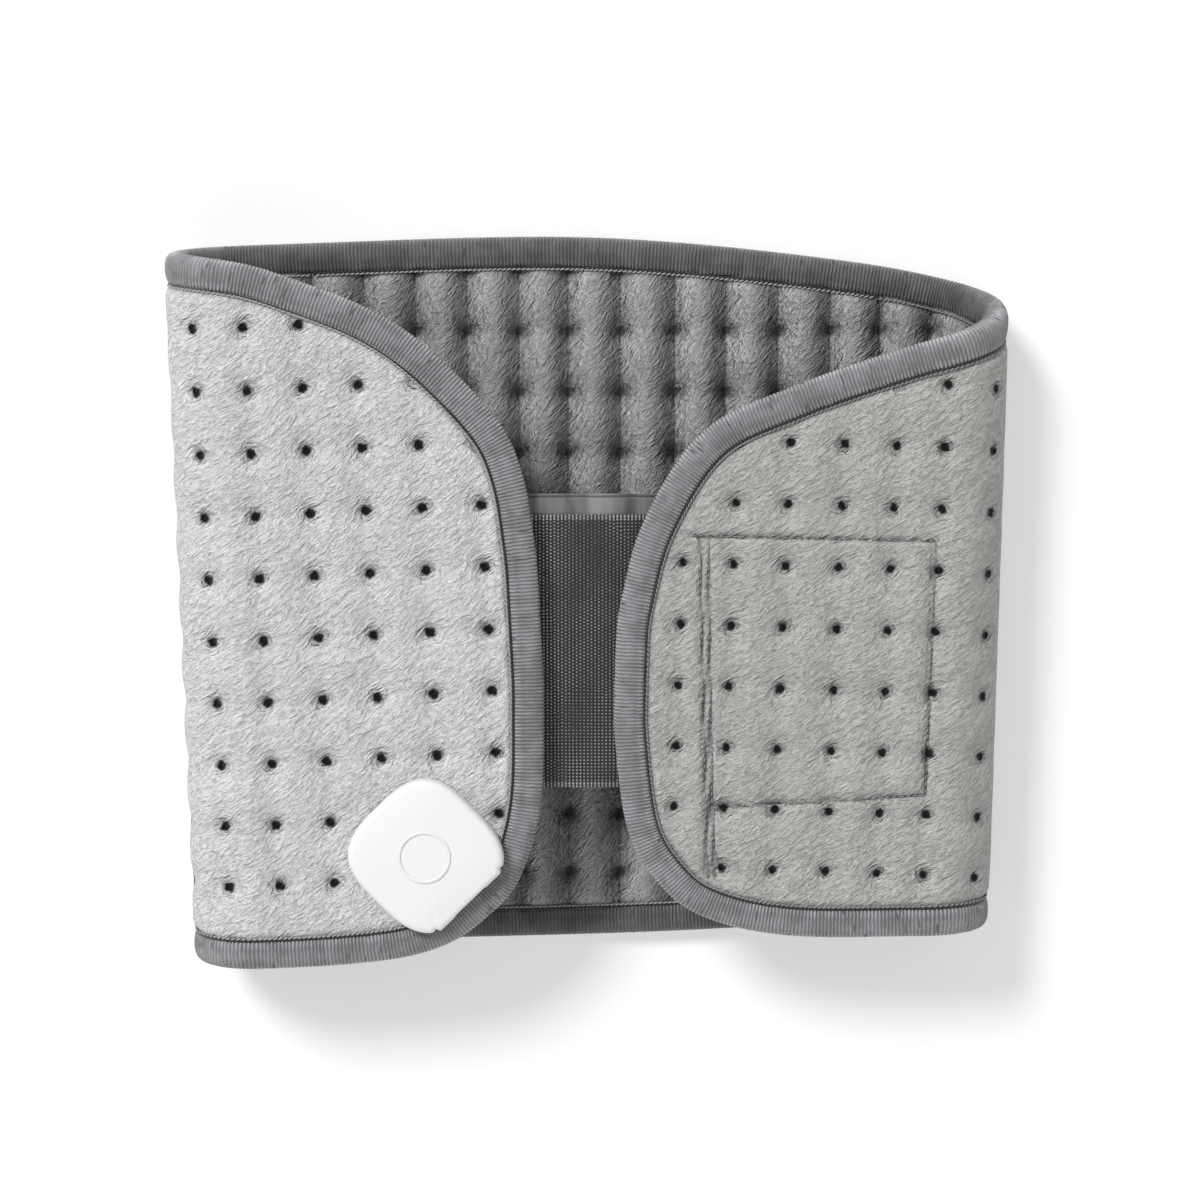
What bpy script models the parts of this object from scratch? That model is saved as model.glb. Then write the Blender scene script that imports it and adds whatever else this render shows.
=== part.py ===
"""Heated waist and back belt: a padded belt lying on its back, both ends folded over the top.

World frame: X along the belt, Y across it (up when worn), Z away from the surface that it lies on.
The belt is first laid out flat in a pattern plane, then every piece is wrapped round the two folds.
"""
import bpy
import bmesh
import numpy as np
from math import radians, pi, sin, cos
from mathutils import Matrix, Vector

# Driving dimensions, in metres.
GAP = 0.0003                # air between pieces that touch
SCALE = 1.0                 # of the whole pattern
FOLD_RADIUS = 0.026         # of the panel's middle layer round each fold
HALF_THICK = 0.00425        # half the padded panel, without its binding
BIND_WIDTH = 0.012
BIND_THICK = 0.0006
BIND_AIR = 0.0004           # between binding and covers
BIND_WRAP = 0.0010          # how far the binding stands out past the cloth edge
LEFT_FOLD = (-0.1472, -0.005, radians(1.5))     # x and y of the fold line, and its slant
RIGHT_FOLD = (0.1379, -0.005, radians(1.0))
SPLIT_GAP = 0.0005          # between a flap and the back panel at the middle of a fold
ARC_STEPS = 7               # per quarter turn

COVER_THICK = 0.0015
HEATER_THICK = 0.0012
WIRE_RADIUS = 0.0005
WIRE_PITCH = 0.0235
WIRE_INSET = 0.022          # of the wire's turns from the cloth edges

STRAP_THICK = 0.0016
STRAP_LOW = -0.0815
STRAP_HIGH = 0.0345
STRAP_TUCK = 0.0018         # from the right flap's free edge in to the strap's hinge
STRAP_LAP = 0.0724          # of the strap under the left flap
ANCHOR_INSET = 0.0019       # of the sewn end from the right fold line
ANCHOR_RAMP = (0.025, 0.035)    # from the hinge, where it rises to the inner cover
BOX_HIGH = (0.0263, 0.0247)     # of the box stitching, at its free and its fold side
BOX_LOW = (-0.0882, -0.0827)
TAPE_THICK = 0.0008

SOCKET_AT = (-0.2971, -0.1132)      # in the pattern plane
CUTOUT_AT = (-0.2742, -0.0446)
SOCKET_TURN = radians(-45.6)
SOCKET_SIDE = 0.0556
SOCKET_CORNER = 0.017
SOCKET_TOP = 0.0095
SOCKET_WALL = 0.0022
MATING_INSET = 0.0021       # of the straight side from the square's own side
SLOT_HALF = 0.0122
PIN_PITCH = 0.007
WIRE_CLEAR = 0.043          # from the socket's middle up to the heating wire
BACKING_THICK = 0.0018

# The cloth outline in the pattern plane, left end to right end, above and below.
TOP_EDGE = [(-0.3495, 0.008), (-0.3455, 0.044), (-0.334, 0.070), (-0.300, 0.1058),
            (-0.260, 0.1267), (-0.216, 0.1393), (-0.115, 0.1448), (0.0, 0.1468), (0.107, 0.1367),
            (0.165, 0.1247), (0.1955, 0.1143), (0.240, 0.0997), (0.282, 0.0832),
            (0.317, 0.064), (0.340, 0.025), (0.349, -0.015)]
BOTTOM_EDGE = [(-0.3495, -0.045), (-0.3457, -0.095), (-0.335, -0.1267), (-0.3215, -0.1412),
               (-0.302, -0.1533), (-0.270, -0.1586), (-0.200, -0.1587), (0.0, -0.1542),
               (0.100, -0.1491), (0.190, -0.1437), (0.270, -0.146), (0.310, -0.1387),
               (0.329, -0.1243), (0.3415, -0.1035), (0.348, -0.065), (0.349, -0.045)]

SOCKET_HALF = SOCKET_SIDE / 2
SOCKET_INSIDE = SOCKET_HALF - SOCKET_WALL
MATING_X = SOCKET_HALF - MATING_INSET
CARRIER_X = (MATING_X - 0.0221, MATING_X - 0.0112)

HALF_BUILD = HALF_THICK + BIND_AIR + BIND_THICK
BACK_Z = HALF_BUILD
FOLD_Z = BACK_Z + FOLD_RADIUS
FLAP_Z = FOLD_Z + FOLD_RADIUS
QUARTER = FOLD_RADIUS * pi / 2
PIVOT_OUT = FOLD_RADIUS + HALF_BUILD + GAP
FACE_Z = FLAP_Z + HALF_THICK
INNER_Z = FLAP_Z - HALF_THICK

COVER_MID = HALF_THICK - COVER_THICK / 2
WADDING_TOP = HALF_THICK - COVER_THICK - GAP
WADDING_THICK = 2 * WADDING_TOP - HEATER_THICK - 2 * (WIRE_RADIUS + GAP)
WADDING_MID = WADDING_TOP - WADDING_THICK / 2
WIRE_LEVEL = WADDING_TOP - WADDING_THICK - GAP - WIRE_RADIUS
HEATER_MID = -(WADDING_TOP - HEATER_THICK / 2)


# ---------- scene and materials ----------

def clear_scene():
    for thing in list(bpy.data.objects):
        bpy.data.objects.remove(thing, do_unlink=True)


def new_collection(name):
    made = bpy.data.collections.new(name)
    bpy.context.scene.collection.children.link(made)
    return made


def material(name, colour, roughness, metallic=0.0):
    made = bpy.data.materials.new(name)
    made.use_nodes = True
    shader = made.node_tree.nodes["Principled BSDF"]
    shader.inputs["Base Color"].default_value = (*colour, 1.0)
    shader.inputs["Roughness"].default_value = roughness
    shader.inputs["Metallic"].default_value = metallic
    return made


def keep(obj, paint, parent=None):
    """File a finished piece: material, collection, parent, smooth shading."""
    if obj.name not in parts.objects:
        parts.objects.link(obj)
    if paint:
        own = paint.copy()
        own.name = obj.name
        obj.data.materials.clear()
        obj.data.materials.append(own)
    if obj.type == "MESH":
        obj.data.shade_smooth()
        obj.data.set_sharp_from_angle(angle=radians(35))
    return attach(obj, parent)


def attach(obj, parent):
    """Parent a piece; under a hinge its own coordinates stay those of the whole belt."""
    obj.parent = parent
    if parent and parent.name in hinges:
        obj.matrix_parent_inverse = Matrix.Translation(-hinges[parent.name])
    return obj


def empty(name, place, turn=0.0, parent=None):
    made = bpy.data.objects.new(name, None)
    made.location = place
    made.rotation_euler = (0, 0, turn)
    parts.objects.link(made)
    return attach(made, parent)


def hinge(name, place, parent):
    """An empty on a joint's axis, for the pieces that turn about it."""
    made = empty(name, place, parent=parent)
    hinges[name] = Vector(place)
    return made


# ---------- the pattern plane and the folds ----------

def smooth_line(points):
    """A dense curve through the points, even in slope where it passes each one."""
    knots = np.array(points) * SCALE
    slopes = np.gradient(knots, axis=0)
    steps = np.linspace(0, 1, 24, endpoint=False)[:, None]
    pieces = []
    for a, b, da, db in zip(knots[:-1], knots[1:], slopes[:-1], slopes[1:]):
        blend = steps * steps * (3 - 2 * steps)
        lead = steps * (1 - steps) ** 2 * da
        tail = steps * steps * (1 - steps) * db
        pieces.append(a + (b - a) * blend + lead - tail)
    return np.vstack(pieces + [knots[-1:]])


class Fold:
    """One fold line in the pattern plane: sign -1 is the left fold, +1 the right."""

    def __init__(self, sign, line):
        self.sign = sign
        x, y, slant = line
        self.start = np.array([x, y]) * SCALE
        self.out = np.array([sign * cos(slant), -sin(slant)])
        self.down = np.array([-sign * sin(slant), -cos(slant)])

    def depth(self, point):
        return (point - self.start) @ self.out

    def wrap(self, point, level):
        """Pattern point to world, `level` outward from the panel's middle layer."""
        past = self.depth(point)
        along = self.start + self.down * ((point - self.start) @ self.down)
        if past <= 0:
            return Vector((*point, BACK_Z - level))
        angle = min(past / FOLD_RADIUS, pi)
        reach = (FOLD_RADIUS + level) * sin(angle)
        height = FOLD_Z - (FOLD_RADIUS + level) * cos(angle)
        reach -= max(past - pi * FOLD_RADIUS, 0)
        return Vector((*(along + self.out * reach), height))

    def edge_point(self, past, edge):
        """Where the line `past` beyond the fold line meets a cloth edge."""
        y = 0.0
        for _ in range(8):
            back = (self.start[1] + self.out[1] * past - y) / -self.down[1]
            point = self.start + self.out * past + self.down * back
            y = np.interp(point[0], edge[:, 0], edge[:, 1])
        return np.array([point[0], y])

    def column(self, past):
        return self.edge_point(past, top_line), self.edge_point(past, bottom_line)

    def pivot(self):
        at = self.start + self.out * PIVOT_OUT
        return Vector((*at, FOLD_Z))


def nearest_fold(point):
    return left_fold if point[0] < 0 else right_fold


def wrap(point, level):
    return nearest_fold(point).wrap(point, level)


def straight_column(top_x, bottom_x):
    top_y = np.interp(top_x, top_line[:, 0], top_line[:, 1])
    bottom_y = np.interp(bottom_x, bottom_line[:, 0], bottom_line[:, 1])
    return np.array([top_x, top_y]), np.array([bottom_x, bottom_y])


def free_end_x(fold):
    return top_line[0, 0] if fold.sign < 0 else top_line[-1, 0]


def free_edge_x(fold):
    """Where a flap's free edge comes to lie once folded over."""
    low_y = bottom_line[0, 1] if fold.sign < 0 else bottom_line[-1, 1]
    return fold.wrap(np.array([free_end_x(fold), low_y]), 0).x


def strap_hinge_x():
    return free_edge_x(right_fold) + STRAP_TUCK


def strap_tip_x():
    return free_edge_x(left_fold) - STRAP_LAP


def back_columns():
    """Columns of the back panel, left split line to right split line."""
    arc = np.linspace(QUARTER - SPLIT_GAP / 2, 0, ARC_STEPS + 1)
    left = [left_fold.column(past) for past in arc]
    right = [right_fold.column(past) for past in arc[::-1]]
    middle = []
    for share in np.linspace(0, 1, 11)[1:-1]:
        top_x = left[-1][0][0] + (right[0][0][0] - left[-1][0][0]) * share
        low_x = left[-1][1][0] + (right[0][1][0] - left[-1][1][0]) * share
        middle.append(straight_column(top_x, low_x))
    return left + middle + right


def flap_columns(fold):
    """Columns of a flap, from its split line to its free end, closer together at the end."""
    arc = np.linspace(QUARTER + SPLIT_GAP / 2, 2 * QUARTER, ARC_STEPS + 1)
    columns = [fold.column(past) for past in arc]
    first = columns[-1]
    end_x = free_end_x(fold)
    for share in np.sin(np.linspace(0, pi / 2, 13))[1:]:
        top_x = first[0][0] + (end_x - first[0][0]) * share
        low_x = first[1][0] + (end_x - first[1][0]) * share
        columns.append(straight_column(top_x, low_x))
    return columns


# ---------- cloth ----------

def grid_mesh(name, across, along, place):
    """A grid primitive whose corners are moved to place(i, j)."""
    mesh = bmesh.new()
    bmesh.ops.create_grid(mesh, x_segments=across - 1, y_segments=along - 1, size=1)
    for vert in mesh.verts:
        i = round((vert.co.x + 1) / 2 * (across - 1))
        j = round((vert.co.y + 1) / 2 * (along - 1))
        vert.co = place(i, j)
    data = bpy.data.meshes.new(name)
    mesh.to_mesh(data)
    mesh.free()
    return bpy.data.objects.new(name, data)


def solidify(obj, thickness, even=True):
    shell = obj.modifiers.new("Thickness", "SOLIDIFY")
    shell.thickness = thickness
    shell.offset = 0
    shell.use_even_offset = even
    return obj


def cloth(name, columns, level, thickness, paint, parent):
    """One layer of a panel: every column is a straight line, so its two ends are enough."""
    def place(i, j):
        return wrap(columns[i][j], level)
    obj = solidify(grid_mesh(name, len(columns), 2, place), thickness)
    return keep(obj, paint, parent)


def unit(vector):
    return vector / np.linalg.norm(vector)


def binding(name, stations, inward, paint, parent):
    """A tape folded over the cloth edge, swept along the stations."""
    flat = HALF_THICK + BIND_AIR + BIND_THICK / 2
    section = [(BIND_WIDTH, flat), (-0.3 * BIND_WRAP, flat), (-BIND_WRAP, 0.8 * flat),
               (-BIND_WRAP, -0.8 * flat), (-0.3 * BIND_WRAP, -flat), (BIND_WIDTH, -flat)]

    def place(i, j):
        offset, level = section[j]
        return wrap(stations[i] + inward[i] * offset, level)
    obj = solidify(grid_mesh(name, len(stations), len(section), place), BIND_THICK)
    return keep(obj, paint, parent)


def flap_edge(columns):
    """Stations round a flap: out along the top, down the free end, back along the bottom."""
    top = [column[0] for column in columns]
    low = [column[1] for column in columns]
    stations = top + low[::-1]
    middle = (columns[0][0] + columns[-1][1]) / 2
    inward = []
    for k, point in enumerate(stations):
        before = stations[max(k - 1, 0)]
        after = stations[min(k + 1, len(stations) - 1)]
        side = unit(after - before)
        normal = np.array([-side[1], side[0]])
        if normal @ (middle - point) < 0:
            normal = -normal
        rank = min(k, len(stations) - 1 - k)
        top_point, low_point = columns[min(rank, len(columns) - 1)]
        down = unit(low_point - top_point)
        straight = down if k < len(stations) / 2 else -down
        share = min(max((rank - ARC_STEPS) / 4, 0), 1)
        inward.append(unit(straight * (1 - share) + normal * share))
    return stations, inward


def panel(prefix, columns, parent):
    """The four layers of one panel, outside to inside."""
    cloth(f"{prefix}_outer_cover", columns, COVER_MID, COVER_THICK, plush, parent)
    cloth(f"{prefix}_wadding", columns, WADDING_MID, WADDING_THICK, wadding, parent)
    cloth(f"{prefix}_heater_fleece", columns, HEATER_MID, HEATER_THICK, fleece, parent)
    cloth(f"{prefix}_inner_cover", columns, -COVER_MID, COVER_THICK, plush, parent)


def tube(name, points, radius, paint, parent, closed=False):
    """A round wire through the points."""
    data = bpy.data.curves.new(name, "CURVE")
    data.dimensions = "3D"
    data.bevel_depth = radius
    data.bevel_resolution = 1
    data.use_fill_caps = not closed
    line = data.splines.new("POLY")
    line.points.add(len(points) - 1)
    for knot, point in zip(line.points, points):
        knot.co = (*point, 1.0)
    line.use_cyclic_u = closed
    return keep(bpy.data.objects.new(name, data), paint, parent)


def wire_ends(fold, past, low_y):
    """The upper and lower end of one run of wire, short of both edges or of low_y."""
    top, low = fold.column(past)
    down = unit(low - top)
    lower = low - down * WIRE_INSET
    if low_y is not None:
        lower = top + (low - top) * (top[1] - low_y) / (top[1] - low[1])
    return [top + down * WIRE_INSET, lower]


def heating_wire(name, fold, first, last, parent, low_y=None):
    """Runs up and down the panel, joined by turns that follow the fold."""
    count = int((last - first) / (WIRE_PITCH * SCALE)) + 1
    spread = np.linspace(first, last, count)
    points = []
    for k, past in enumerate(spread):
        ends = wire_ends(fold, past, low_y)
        if k % 2:
            ends.reverse()
        points += ends
        if k == count - 1:
            break
        target = wire_ends(fold, spread[k + 1], low_y)[1 - k % 2]
        points += [ends[1] + (target - ends[1]) * step / 4 for step in (1, 2, 3)]
    return tube(name, [wrap(p, WIRE_LEVEL) for p in points], WIRE_RADIUS, cable, parent)


# ---------- flat pieces and solids ----------

def slab(name, x_range, y_range, z_range, corner=0.0, rim=0.0, paint=None, parent=None):
    """A box with rounded upright corners and, if asked, a rounded top rim."""
    mesh = bmesh.new()
    size = [b - a for a, b in (x_range, y_range, z_range)]
    middle = [(a + b) / 2 for a, b in (x_range, y_range, z_range)]
    place = Matrix.Translation(middle) @ Matrix.Diagonal((*size, 1))
    bmesh.ops.create_cube(mesh, size=1, matrix=place)
    if corner:
        upright = [e for e in mesh.edges if abs(e.verts[0].co.z - e.verts[1].co.z) > size[2] / 2]
        bmesh.ops.bevel(mesh, geom=upright, offset=corner, segments=5, profile=0.5, affect="EDGES")
    if rim:
        high = [e for e in mesh.edges if min(v.co.z for v in e.verts) > z_range[1] - 1e-6]
        bmesh.ops.bevel(mesh, geom=high, offset=rim, segments=3, profile=0.5, affect="EDGES")
    return finish_solid(mesh, name, paint, parent)


def rod(name, place, radius, length, axis="Z", sides=12, paint=None, parent=None):
    mesh = bmesh.new()
    turn = Matrix.Rotation(pi / 2, 4, "Y") if axis == "X" else Matrix.Identity(4)
    bmesh.ops.create_cone(mesh, cap_ends=True, segments=sides, radius1=radius, radius2=radius,
                          depth=length, matrix=Matrix.Translation(place) @ turn)
    return finish_solid(mesh, name, paint, parent)


def finish_solid(mesh, name, paint, parent):
    bmesh.ops.recalc_face_normals(mesh, faces=mesh.faces)
    data = bpy.data.meshes.new(name)
    mesh.to_mesh(data)
    mesh.free()
    obj = bpy.data.objects.new(name, data)
    if paint:
        return keep(obj, paint, parent)
    cutters.objects.link(obj)
    obj.hide_render = True
    obj.display_type = "WIRE"
    return attach(obj, parent)


def cut(obj, *tools):
    for tool in tools:
        step = obj.modifiers.new(f"Cut {tool.name}", "BOOLEAN")
        step.operation = "DIFFERENCE"
        step.object = tool
    return obj


def fuse(obj, tool):
    step = obj.modifiers.new(f"Join {tool.name}", "BOOLEAN")
    step.operation = "UNION"
    step.object = tool
    return obj


# ---------- bodies ----------

def make_back_panel(parent):
    columns = back_columns()
    panel("back", columns, parent)
    top = [column[0] for column in columns]
    low = [column[1] for column in columns]
    down = [unit(column[1] - column[0]) for column in columns]
    binding("back_top_binding", top, down, grosgrain, parent)
    binding("back_bottom_binding", low, [-d for d in down], grosgrain, parent)
    reach = QUARTER - 0.004
    width = right_fold.start[0] - left_fold.start[0]
    heating_wire("back_heating_wire", left_fold, -width + 0.012, reach, parent)
    pocket = slab("sensor_pocket", (-0.007, 0.007), (-0.006, 0.006),
                  (BACK_Z - WADDING_TOP - 0.0002, BACK_Z - WADDING_TOP + WADDING_THICK + 0.0002),
                  parent=parent)
    cut(bpy.data.objects["back_wadding"], pocket)
    low_z = BACK_Z - WADDING_TOP + GAP
    slab("temperature_sensor", (-0.006, 0.006), (-0.003, 0.003), (low_z, low_z + 0.0015),
         corner=0.002, paint=ceramic, parent=parent)


def make_flap(prefix, fold, parent):
    columns = flap_columns(fold)
    panel(prefix, columns, parent)
    stations, inward = flap_edge(columns)
    binding(f"{prefix}_binding", stations, inward, grosgrain, parent)
    low_y = wire_low_y() if fold.sign < 0 else None
    far = abs(free_end_x(fold) - fold.start[0]) - WIRE_INSET
    heating_wire(f"{prefix}_heating_wire", fold, QUARTER + 0.004, far, parent, low_y)


def wire_low_y():
    """Where the left flap's heating wire stops, above the socket."""
    return SOCKET_AT[1] * SCALE + WIRE_CLEAR


def make_socket(parent):
    """Connector housing in its own frame: +X is the mating direction, Z = 0 the cover's face."""
    at = wrap(np.array(SOCKET_AT) * SCALE, HALF_THICK)
    frame = empty("socket_frame", at, SOCKET_TURN, parent)
    make_housing(frame)
    make_contacts(frame)
    half = SOCKET_HALF - 0.0058
    plate_top = -COVER_THICK - GAP
    plate = slab("socket_backing_plate", (-half, half - 0.004), (-half, half),
                 (plate_top - BACKING_THICK, plate_top), corner=0.010, paint=nylon, parent=frame)
    side = SOCKET_INSIDE - 0.0013
    base = slab("socket_base", (-side, MATING_X - 0.0044), (-side, side), (GAP, 0.0021),
                corner=SOCKET_CORNER - 0.0025, paint=nylon, parent=frame)
    floor = WADDING_TOP - WADDING_THICK - HALF_THICK - GAP / 2
    window = slab("backing_window", (-half - 0.001, half - 0.003), (-half - 0.001, half + 0.001),
                  (floor, plate_top + GAP / 2), corner=0.0105, parent=frame)
    cut(bpy.data.objects["left_wadding"], window)
    passage = rod("lead_passage", (-0.006, 0, -0.001), 0.0032, 0.012, sides=16, parent=frame)
    holes = [passage]
    spread = SOCKET_HALF - 0.0123
    for k, (side_x, side_y) in enumerate([(1, 1), (-1, 1), (-1, -1), (1, -1)]):
        x = spread * side_x - (0.003 if side_x > 0 else 0)
        y = spread * side_y
        holes.append(rod(f"screw_hole_{k + 1}", (x, y, -0.001), 0.0015, 0.012, parent=frame))
        make_screw(f"socket_screw_{k + 1}", x, y, plate_top - BACKING_THICK - GAP, frame)
    for piece in (plate, base, bpy.data.objects["left_outer_cover"]):
        cut(piece, *holes)


def make_screw(name, x, y, head_top, frame):
    head = rod(f"{name}_head", (x, y, head_top - 0.0006), 0.0027, 0.0012, parent=frame)
    length = 0.0019 - head_top + 0.0004
    body = rod(name, (x, y, 0.0019 - length / 2), 0.0012, length, paint=steel, parent=frame)
    fuse(body, head)


def make_housing(frame):
    half, inside = SOCKET_HALF, SOCKET_INSIDE
    shell = slab("socket_shell", (-half, half), (-half, half), (0.0013, SOCKET_TOP),
                 corner=SOCKET_CORNER, rim=0.0042, paint=white, parent=frame)
    cavity = slab("housing_cavity", (-inside, MATING_X - 0.0032), (-inside, inside),
                  (-0.002, SOCKET_TOP - 0.0020), corner=SOCKET_CORNER - SOCKET_WALL, rim=0.0020,
                  parent=frame)
    face = slab("mating_cut", (MATING_X, half + 0.01), (-half - 0.01, half + 0.01),
                (-0.002, SOCKET_TOP + 0.01), parent=frame)
    slot = slab("inlet_slot", (MATING_X - 0.008, half + 0.01), (-SLOT_HALF, SLOT_HALF),
                (0.0030, 0.0070), parent=frame)
    round_off = SOCKET_CORNER - MATING_INSET
    notch_y = half - SOCKET_CORNER + (SOCKET_CORNER ** 2 - round_off ** 2) ** 0.5
    notches = [rod(f"notch_{k + 1}", (MATING_X + 0.0006, side * notch_y, 0.004), 0.0022, 0.02,
                   sides=16, parent=frame) for k, side in enumerate((-1, 1))]
    groove = rod("ring_groove", (0, 0, SOCKET_TOP), 0.0118, 0.0012, sides=40, parent=frame)
    core = rod("ring_groove_core", (0, 0, SOCKET_TOP), 0.0092, 0.0030, sides=40, parent=frame)
    cut(groove, core)
    cut(shell, cavity, face, slot, *notches, groove)
    ring = rod("socket_ring", (0, 0, SOCKET_TOP + 0.0001), 0.0115, 0.0008, sides=40, paint=silver,
               parent=frame)
    bore = rod("ring_bore", (0, 0, SOCKET_TOP), 0.0095, 0.0030, sides=40, parent=frame)
    cut(ring, bore)


def make_contacts(frame):
    slab("circuit_board", (0.0041 - SOCKET_INSIDE, CARRIER_X[0] - 0.0006), (-0.013, 0.013),
         (0.0024, 0.0036), corner=0.002, paint=board, parent=frame)
    bore_holes = []
    for k in range(3):
        y = PIN_PITCH * (k - 1)
        bore_holes.append(rod(f"pin_bore_{k + 1}", (CARRIER_X[0] + 0.0054, y, 0.005), 0.0013,
                              0.03, axis="X", sides=12, parent=frame))
        rod(f"contact_pin_{k + 1}", (MATING_X - 0.0122, y, 0.005), 0.0010, 0.019, axis="X",
            sides=12, paint=brass, parent=frame)
    width = SLOT_HALF - 0.0007
    carrier = slab("contact_carrier", CARRIER_X, (-width, width), (0.0024, 0.0070), corner=0.001,
                   paint=black, parent=frame)
    cut(carrier, *bore_holes)


def make_leads(parent):
    """Two wires from the circuit board down through the cloth and up to the heating wire."""
    centre = wrap(np.array(SOCKET_AT) * SCALE, 0)
    end_y = wrap(np.array([SOCKET_AT[0] * SCALE, wire_low_y()]), 0).y - 0.003
    turn = Matrix.Rotation(SOCKET_TURN, 2)
    low = FLAP_Z + WIRE_LEVEL
    bend = 0.0012
    for k, side in enumerate((-1, 1)):
        local = turn @ Vector((-0.006, side * 0.0013))
        x, y = centre.x + local.x, centre.y + local.y
        points = [(x, y, FACE_Z + 0.0019), (x, y, low + bend), (x, y + 0.3 * bend, low + 0.3 * bend),
                  (x, y + bend, low), (x, end_y, low)]
        tube(f"lead_wire_{k + 1}", points, WIRE_RADIUS, cable, parent)


def make_cutout(parent):
    """The thermal cut-out in a pocket of the left flap's wadding."""
    x, y, top = wrap(np.array(CUTOUT_AT) * SCALE, WADDING_TOP)
    pocket = slab("cutout_pocket", (x - 0.008, x + 0.008), (y - 0.0035, y + 0.0035),
                  (top - WADDING_THICK - 0.0002, top + 0.0002), parent=parent)
    cut(bpy.data.objects["left_wadding"], pocket)
    slab("thermal_cutout", (x - 0.0072, x + 0.0072), (y - 0.0027, y + 0.0027),
         (top - 0.0018, top - 0.0001), corner=0.0015, paint=ceramic, parent=parent)


def make_strap_anchor(parent):
    """The strap's sewn end: level with the strap at the hinge, then up to the inner cover."""
    near_x, far_x = strap_hinge_x(), right_fold.start[0] - ANCHOR_INSET
    low_start = strap_mid_z()
    seated = INNER_Z - GAP - STRAP_THICK / 2
    ramp = near_x + np.linspace(*ANCHOR_RAMP, 5) * SCALE
    stations = [near_x + GAP / 2, *ramp, far_x]

    def place(i, j):
        x = stations[i]
        rise = min(max((x - ramp[0]) / (ramp[-1] - ramp[0]), 0), 1)
        rise = rise * rise * (3 - 2 * rise)
        away = (x - near_x) / (far_x - near_x)
        low = STRAP_LOW * SCALE - 0.0085 * away
        high = STRAP_HIGH * SCALE - 0.0055 * away
        return Vector((x, high if j else low, low_start + (seated - low_start) * rise))
    obj = solidify(grid_mesh("strap_anchor", len(stations), 2, place), STRAP_THICK, even=False)
    keep(obj, elastic, parent)
    z = FACE_Z + GAP + 0.00035
    box = [(ramp[-1] + 0.0008, BOX_HIGH[0]), (far_x - 0.0015, BOX_HIGH[1]),
           (far_x - 0.0025, BOX_LOW[1]), (ramp[-1] + 0.0030, BOX_LOW[0])]
    points = [(x, y * SCALE, z) for x, y in box]
    tube("box_stitching", points, 0.00035, thread, parent, closed=True)


def strap_mid_z():
    """Below the right flap's binding, the loop patch and the hook tape."""
    return INNER_Z - 2 * (GAP + TAPE_THICK) - GAP - STRAP_THICK / 2


def strap_hinge_z():
    """Just under the guard tape, so that the strap folds clear of its sewn end."""
    return strap_mid_z() - STRAP_THICK / 2 - TAPE_THICK - 2 * GAP


def make_strap(parent):
    middle = strap_mid_z()
    low, high = STRAP_LOW * SCALE, STRAP_HIGH * SCALE
    top, under = middle + STRAP_THICK / 2, middle - STRAP_THICK / 2
    tip = strap_tip_x()
    near = strap_hinge_x() - GAP / 2
    slab("elastic_strap", (tip, near), (low, high), (under, top), paint=elastic, parent=parent)
    slab("strap_end_hem", (tip - 0.006, tip - GAP), (low - 0.001, high + 0.001),
         (under - 0.0003, top + 0.0003), corner=0.0012, paint=grosgrain, parent=parent)
    slab("hook_tape", (tip + 0.004, tip + 0.044), (low + 0.004, high - 0.005),
         (top + GAP, top + GAP + TAPE_THICK), corner=0.003, paint=black, parent=parent)
    slab("strap_guard_tape", (tip + 0.034, near - 0.0005), (high - 0.005, high + 0.0085),
         (under - GAP - TAPE_THICK, under - GAP), corner=0.002, paint=tape, parent=parent)


def make_loop_patch(parent):
    tip = strap_tip_x()
    slab("loop_patch", (tip + 0.001, tip + 0.051), (STRAP_LOW * SCALE - 0.003, STRAP_HIGH * SCALE),
         (INNER_Z - GAP - TAPE_THICK, INNER_Z - GAP), corner=0.004, paint=black, parent=parent)


def bounds(objects):
    depsgraph = bpy.context.evaluated_depsgraph_get()
    corners = []
    for obj in objects:
        seen = obj.evaluated_get(depsgraph)
        corners += [seen.matrix_world @ vert.co for vert in seen.to_mesh().vertices]
    table = np.array(corners)
    return table.min(axis=0), table.max(axis=0)


def centre_on_origin(root):
    """Bring the middle of the belt's footprint to the origin and its underside to Z = 0."""
    bpy.context.view_layer.update()
    solid = [obj for obj in parts.objects if obj.type in {"MESH", "CURVE"}]
    low, high = bounds(solid)
    root.location = (-(low[0] + high[0]) / 2, -(low[1] + high[1]) / 2, -low[2])
    bpy.context.view_layer.update()


clear_scene()
hinges = {}
parts = new_collection("heated_belt")
cutters = new_collection("cutters")
plush = material("plush", (0.46, 0.46, 0.455), 0.9)
grosgrain = material("grosgrain", (0.27, 0.27, 0.285), 0.8)
wadding = material("wadding", (0.80, 0.80, 0.78), 0.95)
fleece = material("fleece", (0.62, 0.60, 0.55), 0.95)
elastic = material("elastic", (0.070, 0.070, 0.074), 0.85)
tape = material("tape", (0.12, 0.12, 0.125), 0.6)
thread = material("thread", (0.33, 0.33, 0.33), 0.7)
cable = material("cable", (0.60, 0.10, 0.07), 0.5)
white = material("white", (0.86, 0.86, 0.85), 0.28)
nylon = material("nylon", (0.55, 0.55, 0.54), 0.5)
black = material("black", (0.02, 0.02, 0.02), 0.6)
silver = material("silver", (0.62, 0.62, 0.63), 0.35)
board = material("board", (0.03, 0.22, 0.09), 0.45)
ceramic = material("ceramic", (0.75, 0.73, 0.68), 0.5)
steel = material("steel", (0.60, 0.60, 0.61), 0.3, 1.0)
brass = material("brass", (0.78, 0.60, 0.25), 0.25, 1.0)

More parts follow.
